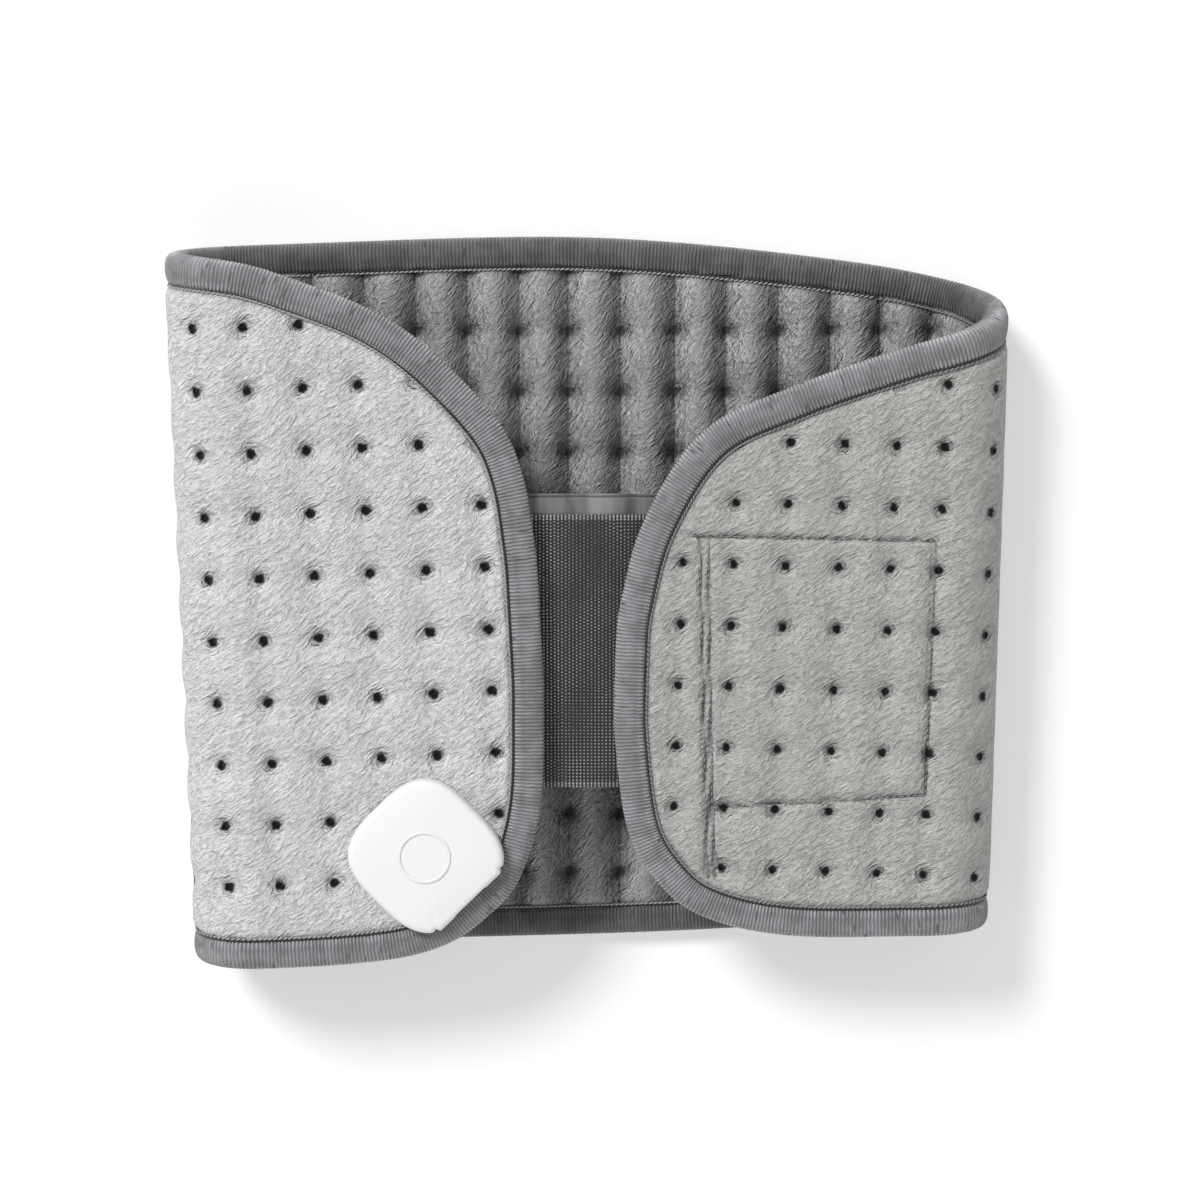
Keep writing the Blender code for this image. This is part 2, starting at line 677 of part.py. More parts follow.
top_line = smooth_line(TOP_EDGE)
bottom_line = smooth_line(BOTTOM_EDGE)
left_fold = Fold(-1, LEFT_FOLD)
right_fold = Fold(1, RIGHT_FOLD)

root = empty("belt_frame", (0, 0, 0))
left_pivot = hinge("left_flap_pivot", left_fold.pivot(), root)
right_pivot = hinge("right_flap_pivot", right_fold.pivot(), root)
strap_pivot = hinge("strap_pivot", (strap_hinge_x(), 0, strap_hinge_z()), right_pivot)

make_back_panel(root)
make_flap("left", left_fold, left_pivot)
make_flap("right", right_fold, right_pivot)
make_socket(left_pivot)
make_leads(left_pivot)
make_cutout(left_pivot)
make_loop_patch(left_pivot)
make_strap_anchor(right_pivot)
make_strap(strap_pivot)
centre_on_origin(root)
for pivot in (left_pivot, right_pivot, strap_pivot):
    print(pivot.name, [round(c, 6) for c in pivot.matrix_world.translation])
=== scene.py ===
import math

import bmesh
import bpy
import numpy as np
from mathutils import Matrix, Vector


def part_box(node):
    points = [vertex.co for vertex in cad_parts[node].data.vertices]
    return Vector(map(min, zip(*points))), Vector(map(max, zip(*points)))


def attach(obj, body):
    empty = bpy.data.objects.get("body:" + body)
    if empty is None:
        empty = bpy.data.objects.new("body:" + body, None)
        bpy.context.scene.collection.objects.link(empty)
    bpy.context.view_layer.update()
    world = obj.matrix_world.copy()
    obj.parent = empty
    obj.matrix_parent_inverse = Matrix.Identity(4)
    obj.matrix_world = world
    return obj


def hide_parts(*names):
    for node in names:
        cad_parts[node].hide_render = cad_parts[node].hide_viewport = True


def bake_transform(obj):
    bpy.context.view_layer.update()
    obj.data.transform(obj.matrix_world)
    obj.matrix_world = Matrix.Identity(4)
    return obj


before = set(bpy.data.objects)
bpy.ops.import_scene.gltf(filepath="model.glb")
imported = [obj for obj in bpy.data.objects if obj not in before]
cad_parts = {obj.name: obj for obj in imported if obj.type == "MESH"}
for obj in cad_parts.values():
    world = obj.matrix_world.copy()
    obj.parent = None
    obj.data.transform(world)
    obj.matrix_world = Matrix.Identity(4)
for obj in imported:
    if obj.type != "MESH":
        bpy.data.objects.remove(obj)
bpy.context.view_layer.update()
print("frame loaded:", len(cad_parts), "nodes")


view = {
    "eye": (0.00548, 0.2003, 1.4479),
    "tilt": -8.0,           # degrees from straight down
    "lens": 100.96,
    "skyStrength": 0.49,
    "sunStrength": 2.45,
    "sunFrom": (-0.64, 0.84, 0.95),
    "sunSize": 17.0,        # degrees across, for the soft shadow
    "fillStrength": 0.42,
    "fillFrom": (0.15, -0.90, 0.80),   # a broad low light that reaches in under the flaps
    "fillSize": 70.0,
}


def aimSun(name, place, strength, size):
    data = bpy.data.lights.new(name, "SUN")
    data.energy = strength
    data.angle = math.radians(size)
    light = bpy.data.objects.new(name, data)
    bpy.context.scene.collection.objects.link(light)
    light.location = place
    light.rotation_euler = (-Vector(place)).to_track_quat("-Z", "Y").to_euler()
    return light


def makeStudio():
    scene = bpy.context.scene
    data = bpy.data.cameras.new("studioCamera")
    data.lens = view["lens"]
    data.sensor_width = 36
    data.clip_end = 20
    camera = bpy.data.objects.new("studioCamera", data)
    scene.collection.objects.link(camera)
    camera.location = view["eye"]
    camera.rotation_euler = (math.radians(view["tilt"]), 0, 0)
    scene.camera = camera
    scene.view_settings.view_transform = "Standard"
    world = bpy.data.worlds.new("studioSky")
    scene.world = world
    world.use_nodes = True
    sky = world.node_tree.nodes["Background"]
    sky.inputs["Color"].default_value = (1, 1, 1, 1)
    sky.inputs["Strength"].default_value = view["skyStrength"]
    aimSun("keyLight", view["sunFrom"], view["sunStrength"], view["sunSize"])
    aimSun("fillLight", view["fillFrom"], view["fillStrength"], view["fillSize"])
    bpy.ops.object.select_all(action="DESELECT")
    bpy.ops.mesh.primitive_plane_add(size=8, location=(0, 0, -0.0004))
    floor = bpy.context.active_object
    floor.name = "studioFloor"
    material = bpy.data.materials.new("paperFloor")
    material.use_nodes = True
    shader = material.node_tree.nodes["Principled BSDF"]
    shader.inputs["Base Color"].default_value = (0.66, 0.66, 0.66, 1)
    shader.inputs["Emission Color"].default_value = (1, 1, 1, 1)
    shader.inputs["Emission Strength"].default_value = 0.35
    shader.inputs["Roughness"].default_value = 0.9
    floor.data.materials.append(material)


makeStudio()
print("camera, light and floor ready")


# the cut of the belt as it lies flat, in metres, and the two folds that bring its ends forward
belt = {
    "halfThick": 0.00425,
    "foldRadius": 0.026,
    "backHeight": 0.00525,
    "foldHeight": 0.03125,
    "shift": (0.005477, 0.005486, 0.000001),
    "leftFold": (-0.1472, -0.005, math.radians(1.5)),
    "rightFold": (0.1379, -0.005, math.radians(1.0)),
    "leftJoin": -0.1227,
    "rightJoin": 0.1196,
    "top": [(-.3495, .008), (-.3455, .044), (-.334, .070), (-.300, .1058), (-.260, .1267), (-.216, .1393),
            (-.115, .1448), (0, .1468), (.107, .1367), (.165, .1247), (.1955, .1143), (.240, .0997),
            (.282, .0832), (.317, .064), (.340, .025), (.349, -.015)],
    "bottom": [(-.3495, -.045), (-.3457, -.095), (-.335, -.1267), (-.3215, -.1412), (-.302, -.1533),
               (-.270, -.1586), (-.200, -.1587), (0, -.1542), (.100, -.1491), (.190, -.1437), (.270, -.146),
               (.310, -.1387), (.329, -.1243), (.3415, -.1035), (.348, -.065), (.349, -.045)],
}


def smoothLine(points, steps=24):
    knots = np.array(points, float)
    slopes = np.gradient(knots, axis=0)
    t = np.linspace(0, 1, steps, endpoint=False)[:, None]
    parts = []
    for a, b, da, db in zip(knots[:-1], knots[1:], slopes[:-1], slopes[1:]):
        parts.append(a + (b - a) * (t * t * (3 - 2 * t)) + t * (1 - t) ** 2 * da - t * t * (1 - t) * db)
    return np.vstack(parts + [knots[-1:]])


topLine = smoothLine(belt["top"])
bottomLine = smoothLine(belt["bottom"])


def topAt(x):
    return np.interp(x, topLine[:, 0], topLine[:, 1])


def bottomAt(x):
    return np.interp(x, bottomLine[:, 0], bottomLine[:, 1])


def ease(t):
    t = np.clip(t, 0, 1)
    return t * t * (3 - 2 * t)


def foldFrames():
    # for each side: its sign, a point on its fold line and the way that leads past it
    for sign, line in ((-1, belt["leftFold"]), (1, belt["rightFold"])):
        yield sign, np.array(line[:2]), np.array([sign * math.cos(line[2]), -math.sin(line[2])])


def wrap(points, level):
    # flat cut to folded belt, level outward from the middle of the padding
    points = np.asarray(points, float)
    level = np.broadcast_to(np.asarray(level, float), len(points))
    out = np.empty((len(points), 3))
    for sign, start, away in foldFrames():
        down = sign * np.array([away[1], -away[0]])
        mine = points[:, 0] < 0 if sign < 0 else points[:, 0] >= 0
        p, h = points[mine], level[mine]
        past = (p - start) @ away
        foot = start + np.outer((p - start) @ down, down)
        angle = np.clip(past / belt["foldRadius"], 0, math.pi)
        reach = (belt["foldRadius"] + h) * np.sin(angle) - np.maximum(past - math.pi * belt["foldRadius"], 0)
        flat = foot + reach[:, None] * away
        flat = np.where((past <= 0)[:, None], p, flat)
        height = belt["foldHeight"] - (belt["foldRadius"] + h) * np.cos(angle)
        height = np.where(past <= 0, belt["backHeight"] - h, height)
        out[mine] = np.column_stack([flat, height])
    return out + np.array(belt["shift"])


def foldPast(points):
    # how far each flat point lies past its fold line
    points = np.asarray(points, float)
    past = np.full(len(points), -1.0)
    for sign, start, away in foldFrames():
        mine = points[:, 0] < 0 if sign < 0 else points[:, 0] >= 0
        past[mine] = (points[mine] - start) @ away
    return past


def evenPath(points, spacing):
    points = np.asarray(points, float)
    run = np.r_[0, np.cumsum(np.linalg.norm(np.diff(points, axis=0), axis=1))]
    count = max(2, int(round(run[-1] / spacing)) + 1)
    s = np.linspace(0, run[-1], count)
    return np.column_stack([np.interp(s, run, points[:, k]) for k in range(points.shape[1])]), s


def outlinePart(side):
    # the cut edge from the top join round the free end to the bottom join, or along the back
    if side in ("left", "right"):
        sign = -1 if side == "left" else 1
        join = belt[side + "Join"]
        top = topLine[sign * topLine[:, 0] >= sign * join][::sign]
        bottom = bottomLine[sign * bottomLine[:, 0] >= sign * join][::-sign]
        return np.vstack([[(join, topAt(join))], top, bottom, [(join, bottomAt(join))]])
    line = topLine if side == "backTop" else bottomLine
    x = np.linspace(belt["leftJoin"], belt["rightJoin"], 400)
    return np.column_stack([x, np.interp(x, line[:, 0], line[:, 1])])


def smoothed(wide, half):
    kernel = np.hanning(half * 2 + 3)[1:-1]
    kernel = kernel / kernel.sum()
    return np.column_stack([np.convolve(wide[:, k], kernel, "valid") for k in (0, 1)])


def pathFrame(path, soften=0):
    # unit tangents and the normals that point into the cloth
    tangent = np.gradient(path, axis=0)
    if soften:
        tangent = smoothed(np.pad(tangent, ((soften, soften), (0, 0)), mode="edge"), soften)
    tangent /= np.linalg.norm(tangent, axis=1)[:, None]
    inward = np.column_stack([-tangent[:, 1], tangent[:, 0]])
    middle = np.array([0.0, -0.005])
    if np.sum((middle - path) * inward) < 0:
        inward = -inward
    return tangent, inward


wholeEdge = np.vstack([topLine, bottomLine[::-1], topLine[:1]])
wholeEdge = evenPath(wholeEdge, 0.0015)[0]


def eased(path, reach, spacing, closed=False):
    # takes the corner out of the free end where the top and bottom curves meet
    half = max(1, int(reach / spacing))
    if closed:
        wide = np.vstack([path[-half - 1:-1], path, path[1:half + 1]])
    else:
        first = path[0] * 2 - path[1:half + 1][::-1]
        last = path[-1] * 2 - path[-half - 1:-1][::-1]
        wide = np.vstack([first, path, last])
    return smoothed(wide, half)


wholeEdge = eased(wholeEdge, 0.012, 0.0015, closed=True)


def leastGap(points, others):
    # distance from each flat point to the nearest of the others
    points = np.asarray(points, float)
    gap = np.empty(len(points))
    for k in range(0, len(points), 2000):
        d = points[k:k + 2000, None, :] - others[None, :, :]
        gap[k:k + 2000] = np.sqrt((d * d).sum(2).min(1))
    return gap


def edgeGap(points):
    return leastGap(points, wholeEdge)


def clearSelection():
    if bpy.context.object and bpy.context.object.mode != "OBJECT":
        bpy.ops.object.mode_set(mode="OBJECT")
    bpy.ops.object.select_all(action="DESELECT")


def pick(piece):
    clearSelection()
    piece.select_set(True)
    bpy.context.view_layer.objects.active = piece


def startGrid(name, across, along):
    # a plain grid whose points are set out in code afterwards, corners at -1 and 1
    clearSelection()
    bpy.ops.mesh.primitive_grid_add(x_subdivisions=across, y_subdivisions=along, size=2, location=(0, 0, 0))
    piece = bpy.context.active_object
    piece.name = name
    piece.data.name = name
    return piece


def readPoints(piece):
    flat = np.empty(len(piece.data.vertices) * 3, np.float32)
    piece.data.vertices.foreach_get("co", flat)
    return flat.reshape(-1, 3).astype(float)


def writePoints(piece, points):
    piece.data.vertices.foreach_set("co", np.asarray(points, np.float32).ravel())
    piece.data.update()


def applyModifier(piece, kind, **values):
    pick(piece)
    modifier = piece.modifiers.new(kind.lower(), kind)
    for key, value in values.items():
        setattr(modifier, key, value)
    bpy.ops.object.modifier_apply(modifier=modifier.name)


def editMesh(piece, action):
    pick(piece)
    bpy.ops.object.mode_set(mode="EDIT")
    bpy.ops.mesh.select_all(action="SELECT")
    action()
    bpy.ops.object.mode_set(mode="OBJECT")


def facesOut(piece):
    editMesh(piece, lambda: bpy.ops.mesh.normals_make_consistent(inside=False))


def placeInMesh(piece):
    piece.data.transform(piece.matrix_world)
    piece.matrix_world = Matrix.Identity(4)


def smoothPiece(piece, angle=40):
    pick(piece)
    bpy.ops.object.shade_smooth_by_angle(angle=math.radians(angle))


def pointAttribute(piece, name, values):
    values = np.asarray(values, np.float32)
    kind = "FLOAT" if values.ndim == 1 else "FLOAT_VECTOR"
    layer = piece.data.attributes.new(name, kind, "POINT")
    layer.data.foreach_set("value" if values.ndim == 1 else "vector", values.ravel())


def closeTube(piece):
    # the grid's two long sides meet: weld them and fill both ends
    def weld():
        bpy.ops.mesh.remove_doubles(threshold=0.00001)
        bpy.ops.mesh.select_all(action="DESELECT")
        bpy.ops.mesh.select_non_manifold(extend=False)
        bpy.ops.mesh.fill_holes(sides=0)
        bpy.ops.mesh.select_all(action="SELECT")
        bpy.ops.mesh.normals_make_consistent(inside=False)
    editMesh(piece, weld)


def sweepTube(name, rows):
    # rows: stations x ring points x 3, each ring already closed on itself
    stations, ring = rows.shape[:2]
    piece = startGrid(name, stations - 1, ring)
    at = readPoints(piece)
    i = np.rint((at[:, 0] + 1) / 2 * (stations - 1)).astype(int)
    j = np.rint((at[:, 1] + 1) / 2 * ring).astype(int) % ring
    writePoints(piece, rows[i, j])
    closeTube(piece)
    return piece


def copiesOf(template, matrices, name):
    # one modelled shape, copied to every place and joined as a single piece
    base = readPoints(template)
    faces = [list(p.vertices) for p in template.data.polygons]
    points, polygons = [], []
    for k, m in enumerate(matrices):
        m = np.array(m)
        points.append(base @ m[:3, :3].T + m[:3, 3])
        polygons.extend([[v + k * len(base) for v in f] for f in faces])
    mesh = bpy.data.meshes.new(name)
    mesh.from_pydata(np.vstack(points).tolist(), [], polygons)
    mesh.update()
    piece = bpy.data.objects.new(name, mesh)
    bpy.context.scene.collection.objects.link(piece)
    piece.data.shade_smooth()
    bpy.data.objects.remove(template)
    return piece


def dress(piece, material):
    piece.data.materials.clear()
    piece.data.materials.append(material)
    return piece


def newGroup(name, inputs, outputs):
    group = bpy.data.node_groups.new(name, "ShaderNodeTree")
    for label, kind, value in inputs:
        socket = group.interface.new_socket(label, in_out="INPUT", socket_type=kind)
        if value is not None:
            socket.default_value = value
    for label, kind in outputs:
        group.interface.new_socket(label, in_out="OUTPUT", socket_type=kind)
    return group, group.nodes.new("NodeGroupInput"), group.nodes.new("NodeGroupOutput")


class Wiring:
    # short words for laying out a node tree
    def __init__(self, tree):
        self.tree = tree

    def node(self, kind, **values):
        node = self.tree.nodes.new(kind)
        for key, value in values.items():
            setattr(node, key, value)
        return node

    def join(self, source, target):
        self.tree.links.new(source, target)

    def put(self, socket, value):
        if isinstance(value, bpy.types.NodeSocket):
            self.join(value, socket)
        else:
            socket.default_value = value

    def math(self, operation, a, b=0.0, c=0.0, clamp=False):
        node = self.node("ShaderNodeMath", operation=operation, use_clamp=clamp)
        for socket, value in zip(node.inputs, (a, b, c)):
            self.put(socket, value)
        return node.outputs[0]

    def ramp(self, value, low, high, outLow=0.0, outHigh=1.0):
        node = self.node("ShaderNodeMapRange", interpolation_type="SMOOTHSTEP")
        for key, given in (("Value", value), ("From Min", low), ("From Max", high), ("To Min", outLow),
                           ("To Max", outHigh)):
            self.put(node.inputs[key], given)
        return node.outputs["Result"]

    def mix(self, factor, a, b):
        node = self.node("ShaderNodeMix", data_type="RGBA")
        self.put(node.inputs["Factor"], factor)
        for socket, value in ((node.inputs[6], a), (node.inputs[7], b)):
            self.put(socket, (*value, 1) if isinstance(value, tuple) and len(value) == 3 else value)
        return node.outputs[2]

    def noise(self, vector, scale, detail=2.0, rough=0.5, distort=0.0):
        node = self.node("ShaderNodeTexNoise")
        self.put(node.inputs["Vector"], vector)
        inputs = {"Scale": scale, "Detail": detail, "Roughness": rough, "Distortion": distort}
        for key, value in inputs.items():
            self.put(node.inputs[key], value)
        return node.outputs["Fac"]

    def stretch(self, vector, scale):
        node = self.node("ShaderNodeMapping", vector_type="POINT")
        self.put(node.inputs["Vector"], vector)
        node.inputs["Scale"].default_value = scale
        return node.outputs["Vector"]

    def plus(self, a, b, clamp=False):
        return self.math("ADD", a, b, clamp=clamp)

    def less(self, a, b):
        return self.math("SUBTRACT", a, b)

    def times(self, a, b):
        return self.math("MULTIPLY", a, b)

    def fit(self, a, scale, offset):
        return self.math("MULTIPLY_ADD", a, scale, offset)

    def parts(self, vector):
        split = self.node("ShaderNodeSeparateXYZ")
        self.join(vector, split.inputs[0])
        return split.outputs

    def objectPlace(self):
        return self.node("ShaderNodeTexCoord").outputs["Object"]

    def tint(self, shader, colour, light):
        # the colour, made lighter and darker over the surface
        tone = self.node("ShaderNodeHueSaturation")
        tone.inputs["Color"].default_value = (*colour, 1)
        self.join(light, tone.inputs["Value"])
        self.join(tone.outputs["Color"], shader.inputs["Base Color"])

    def attribute(self, name):
        return self.node("ShaderNodeAttribute", attribute_name=name)

    def group(self, group, **values):
        node = self.node("ShaderNodeGroup", node_tree=group)
        for key, value in values.items():
            self.put(node.inputs[key], value)
        return node

    def bump(self, height, strength, distance, normal=None):
        node = self.node("ShaderNodeBump")
        self.put(node.inputs["Height"], height)
        node.inputs["Strength"].default_value = strength
        node.inputs["Distance"].default_value = distance
        if normal is not None:
            self.join(normal, node.inputs["Normal"])
        return node.outputs["Normal"]


def newFinish(name, **constants):
    material = bpy.data.materials.new(name)
    material.use_nodes = True
    shader = material.node_tree.nodes["Principled BSDF"]
    for key, value in constants.items():
        shader.inputs[key.replace("_", " ")].default_value = value
    return material, Wiring(material.node_tree), shader


def makePileGroup():
    # short fibres that lie one way: streaks, soft blotches and a height for the bump
    group, start, end = newGroup("pileStreaks", [
        ("Place", "NodeSocketVector", None), ("Fibre", "NodeSocketFloat", 900.0),
        ("Blotch", "NodeSocketFloat", 45.0)], [("Height", "NodeSocketFloat"), ("Shade", "NodeSocketFloat")])
    w = Wiring(group)
    warp = w.node("ShaderNodeTexNoise")
    w.join(start.outputs["Place"], warp.inputs["Vector"])
    warp.inputs["Scale"].default_value = 38
    warp.inputs["Detail"].default_value = 2
    push = w.node("ShaderNodeVectorMath", operation="MULTIPLY_ADD")
    w.join(warp.outputs["Color"], push.inputs[0])
    push.inputs[1].default_value = (0.006, 0.006, 0.0)
    w.join(start.outputs["Place"], push.inputs[2])
    long = w.stretch(push.outputs[0], (0.34, 1.0, 1.0))
    fine = w.noise(long, start.outputs["Fibre"], 3.0, 0.62, 0.35)
    tuft = w.noise(w.stretch(push.outputs[0], (0.42, 1.0, 1.0)), w.times(start.outputs["Fibre"], 0.36),
                   2.0, 0.55, 0.6)
    blotch = w.noise(start.outputs["Place"], start.outputs["Blotch"], 3.0, 0.55)
    height = w.fit(tuft, 1.15, w.times(fine, 0.75))
    w.join(height, end.inputs["Height"])
    shade = w.fit(fine, 0.6, w.times(tuft, 0.4))
    shade = w.ramp(shade, 0.34, 0.64, 0.75, 1.17)
    soft = w.ramp(blotch, 0.3, 0.7, 0.965, 1.03)
    w.join(w.times(shade, soft), end.inputs["Shade"])
    return group


def makeFuzzGroup():
    # unevenness that every woven or moulded finish shares
    group, start, end = newGroup("fineUneven", [
        ("Place", "NodeSocketVector", None), ("Scale", "NodeSocketFloat", 300.0),
        ("Amount", "NodeSocketFloat", 0.1)], [("Shade", "NodeSocketFloat"), ("Height", "NodeSocketFloat")])
    w = Wiring(group)
    small = w.noise(start.outputs["Place"], start.outputs["Scale"], 4.0, 0.6)
    large = w.noise(start.outputs["Place"], w.times(start.outputs["Scale"], 0.07), 2.0, 0.5)
    both = w.fit(small, 0.6, w.times(large, 0.4))
    low = w.less(1.0, start.outputs["Amount"])
    high = w.plus(1.0, start.outputs["Amount"])
    w.join(w.ramp(both, 0.3, 0.7, low, high), end.inputs["Shade"])
    w.join(both, end.inputs["Height"])
    return group


def makeRibGroup():
    # threads that cross the tape side by side, from a place measured along and across it
    group, start, end = newGroup("threadRibs", [
        ("Along", "NodeSocketFloat", 0.0), ("Across", "NodeSocketFloat", 0.0),
        ("Pitch", "NodeSocketFloat", 0.0015)],
        [("Rib", "NodeSocketFloat"), ("Thread", "NodeSocketFloat")])
    w = Wiring(group)
    turn = w.math("DIVIDE", start.outputs["Along"], start.outputs["Pitch"])
    wave = w.math("SINE", w.times(turn, 2 * math.pi))
    w.join(w.fit(wave, 0.5, 0.5), end.inputs["Rib"])
    fine = w.times(w.math("DIVIDE", start.outputs["Across"], 0.00042), 2 * math.pi)
    twist = w.math("SINE", w.plus(fine, w.times(turn, math.pi)))
    w.join(w.fit(twist, 0.5, 0.5), end.inputs["Thread"])
    return group


pileStreaks = makePileGroup()
fineUneven = makeFuzzGroup()
threadRibs = makeRibGroup()


plush = {
    "inner": (0.38, 0.38, 0.376),   # colour of the face towards the wearer
    "rim": 0.34,                    # how much darker the pile is painted beside the binding: painted shade in the gap under the tape's edge
    "fibre": 1320.0,
    "pileDepth": 0.0026,
    "dotPitch": (0.0232, 0.0261),
    # painted shade: the near-black colour painted into each pinched dot
    "paintedDotShade": (0.004, 0.004, 0.004),
}


def plushFinish(name, colour, holeRadius):
    # quilted plush: streaked pile; pinched dots painted near black with a ring of painted shade round each;
    # a line of painted shade beside the binding and along the box stitching; on the inner face, painted
    # shade in the channel grooves and painted light and shade across each channel's slopes
    material, w, shader = newFinish(name, Sheen_Weight=0.10, Sheen_Roughness=0.5, Roughness=0.95,
                                    Specular_IOR_Level=0.15)
    shader.inputs["Sheen Tint"].default_value = (1, 1, 1, 1)
    place = w.attribute("pilePlace").outputs["Vector"]
    pile = w.group(pileStreaks, Place=place, Fibre=plush["fibre"], Blotch=45.0)
    dots = w.parts(w.attribute("dotPlace").outputs["Vector"])
    wobble = w.noise(place, 520.0, 2.0)
    parts = []
    for axis, pitch in enumerate(plush["dotPitch"]):
        cell = w.math("FRACT", w.plus(dots[axis], 0.5))
        parts.append(w.times(w.less(cell, 0.5), pitch))
    square = w.plus(w.times(parts[0], parts[0]), w.times(parts[1], parts[1]))
    pinch = w.math("EXPONENT", w.times(square, -1 / (holeRadius * 1.5) ** 2))
    away = w.math("SQRT", square)
    away = w.plus(away, w.times(w.less(wobble, 0.5), 0.0021))
    # painted shade: each pinched dot is painted near black with a ring of painted shade round it; on the
    # inner face the dots are painted less dark
    paintedDotShade = w.ramp(away, holeRadius * 0.66, holeRadius * 1.24, 1.0, 0.0)
    paintedDotHalo = w.ramp(away, holeRadius * 0.9, holeRadius * 1.8, 1.0, 0.0)
    allowed = w.attribute("dotOn").outputs["Fac"]
    paintedDotShade = w.times(paintedDotShade, allowed)
    paintedDotHalo = w.times(paintedDotHalo, allowed)
    gap = w.attribute("rimGap").outputs["Fac"]
    # painted shade: the pile is painted darker in a line just inside the binding
    line = w.ramp(gap, 0.0118, 0.0150, 1.0, 0.0)
    side = w.attribute("innerSide").outputs["Fac"]
    tone = w.node("ShaderNodeHueSaturation")
    w.join(w.mix(side, colour, plush["inner"]), tone.inputs["Color"])
    shade = w.times(pile.outputs["Shade"], w.fit(paintedDotHalo, -0.20, 1.0))
    shade = w.times(shade, w.fit(line, -plush["rim"], 1.0))
    sewn = w.attribute("sewnGap").outputs["Fac"]
    # painted shade: the pile is painted dark along the grooves of the box stitching, with a ragged edge
    ragged = w.times(w.less(w.noise(place, 700.0, 2.0), 0.5), 0.0008)
    shade = w.times(shade, w.ramp(w.plus(sewn, ragged), 0.0002, 0.0011, 0.18, 1.0))
    depth = w.fit(side, -0.28, 1.0)
    painted = w.mix(w.times(paintedDotShade, depth), tone.outputs["Color"], plush["paintedDotShade"])
    w.join(painted, shader.inputs["Base Color"])
    pileNormal = w.bump(pile.outputs["Height"], 1.0, plush["pileDepth"])
    dip = w.bump(w.less(1.0, pinch), 1.0, 0.0036, pileNormal)
    seam = w.bump(w.ramp(sewn, 0.0, 0.0022, 0.0, 1.0), 0.6, 0.0016, dip)
    crown = w.math("ABSOLUTE", w.math("SINE", w.times(dots[0], math.pi)))
    crown = w.times(w.math("POWER", crown, 0.8), side)
    w.join(w.bump(crown, 1.0, 0.0078, seam), shader.inputs["Normal"])
    # painted shade: on the inner face the plush is painted darker in the groove of each channel
    paintedGrooveShade = w.ramp(crown, 0.0, 0.26, 0.78, 1.04)
    paintedGrooveShade = w.plus(w.times(w.less(paintedGrooveShade, 1.0), side), 1.0)
    shade = w.times(shade, paintedGrooveShade)
    # painted light and shade: on the inner face the left slope of each channel is painted lighter and the
    # right slope darker, as the light falls from the left
    paintedSlopeLight = w.math("SINE", w.times(dots[0], 2 * math.pi))
    shade = w.times(shade, w.fit(w.times(paintedSlopeLight, side), 0.24, 1.0))
    w.join(shade, tone.inputs["Value"])
    return material


def ribbonFinish(name, colour, innerShade, edgeLight, pitch=0.00154):
    # grosgrain tape, from its own place along and across, with a painted highlight on its ribbed edges,
    # painted shade on its inner face and towards its inner edge, and patches of painted fold shading
    material, w, shader = newFinish(name, Roughness=0.62, Sheen_Weight=0.15, Sheen_Roughness=0.4)
    where = w.parts(w.attribute("tapePlace").outputs["Vector"])
    place = w.objectPlace()
    stray = w.times(w.less(w.noise(place, 340.0, 2.0), 0.5), 0.0011)
    ribs = w.group(threadRibs, Along=w.plus(where[0], stray), Across=where[1], Pitch=pitch)
    uneven = w.group(fineUneven, Place=place, Scale=260.0, Amount=0.10)
    edge = w.math("ABSOLUTE", w.less(where[1], 0.0054))
    selvedge = w.ramp(edge, 0.0030, 0.0056, 0.0, 1.0)
    # painted highlight: the ribs are painted lighter towards the tape's edges by edgeLight
    light = w.fit(ribs.outputs["Rib"], w.fit(selvedge, edgeLight, 0.46), 0.76)
    # painted light and shade in soft patches, as over small folds in the tape
    paintedFoldShade = w.noise(w.attribute("tapePlace").outputs["Vector"], 120.0, 1.0)
    light = w.times(light, w.ramp(paintedFoldShade, 0.36, 0.64, 0.84, 1.10))
    light = w.times(light, uneven.outputs["Shade"])
    light = w.times(light, w.fit(ribs.outputs["Thread"], 0.07, 0.965))
    # painted shade: the inner face is painted darker by innerShade, and the tape is painted darker from its
    # crown towards its inner edge beside the plush
    light = w.times(light, w.ramp(where[2], -0.0035, 0.0035, innerShade, 1.0))
    light = w.times(light, w.ramp(where[1], 0.0050, 0.0118, 1.05, 0.74))
    w.tint(shader, colour, light)
    height = w.fit(ribs.outputs["Rib"], 1.0, w.times(ribs.outputs["Thread"], 0.18))
    w.join(w.bump(height, 0.9, 0.00032), shader.inputs["Normal"])
    return material


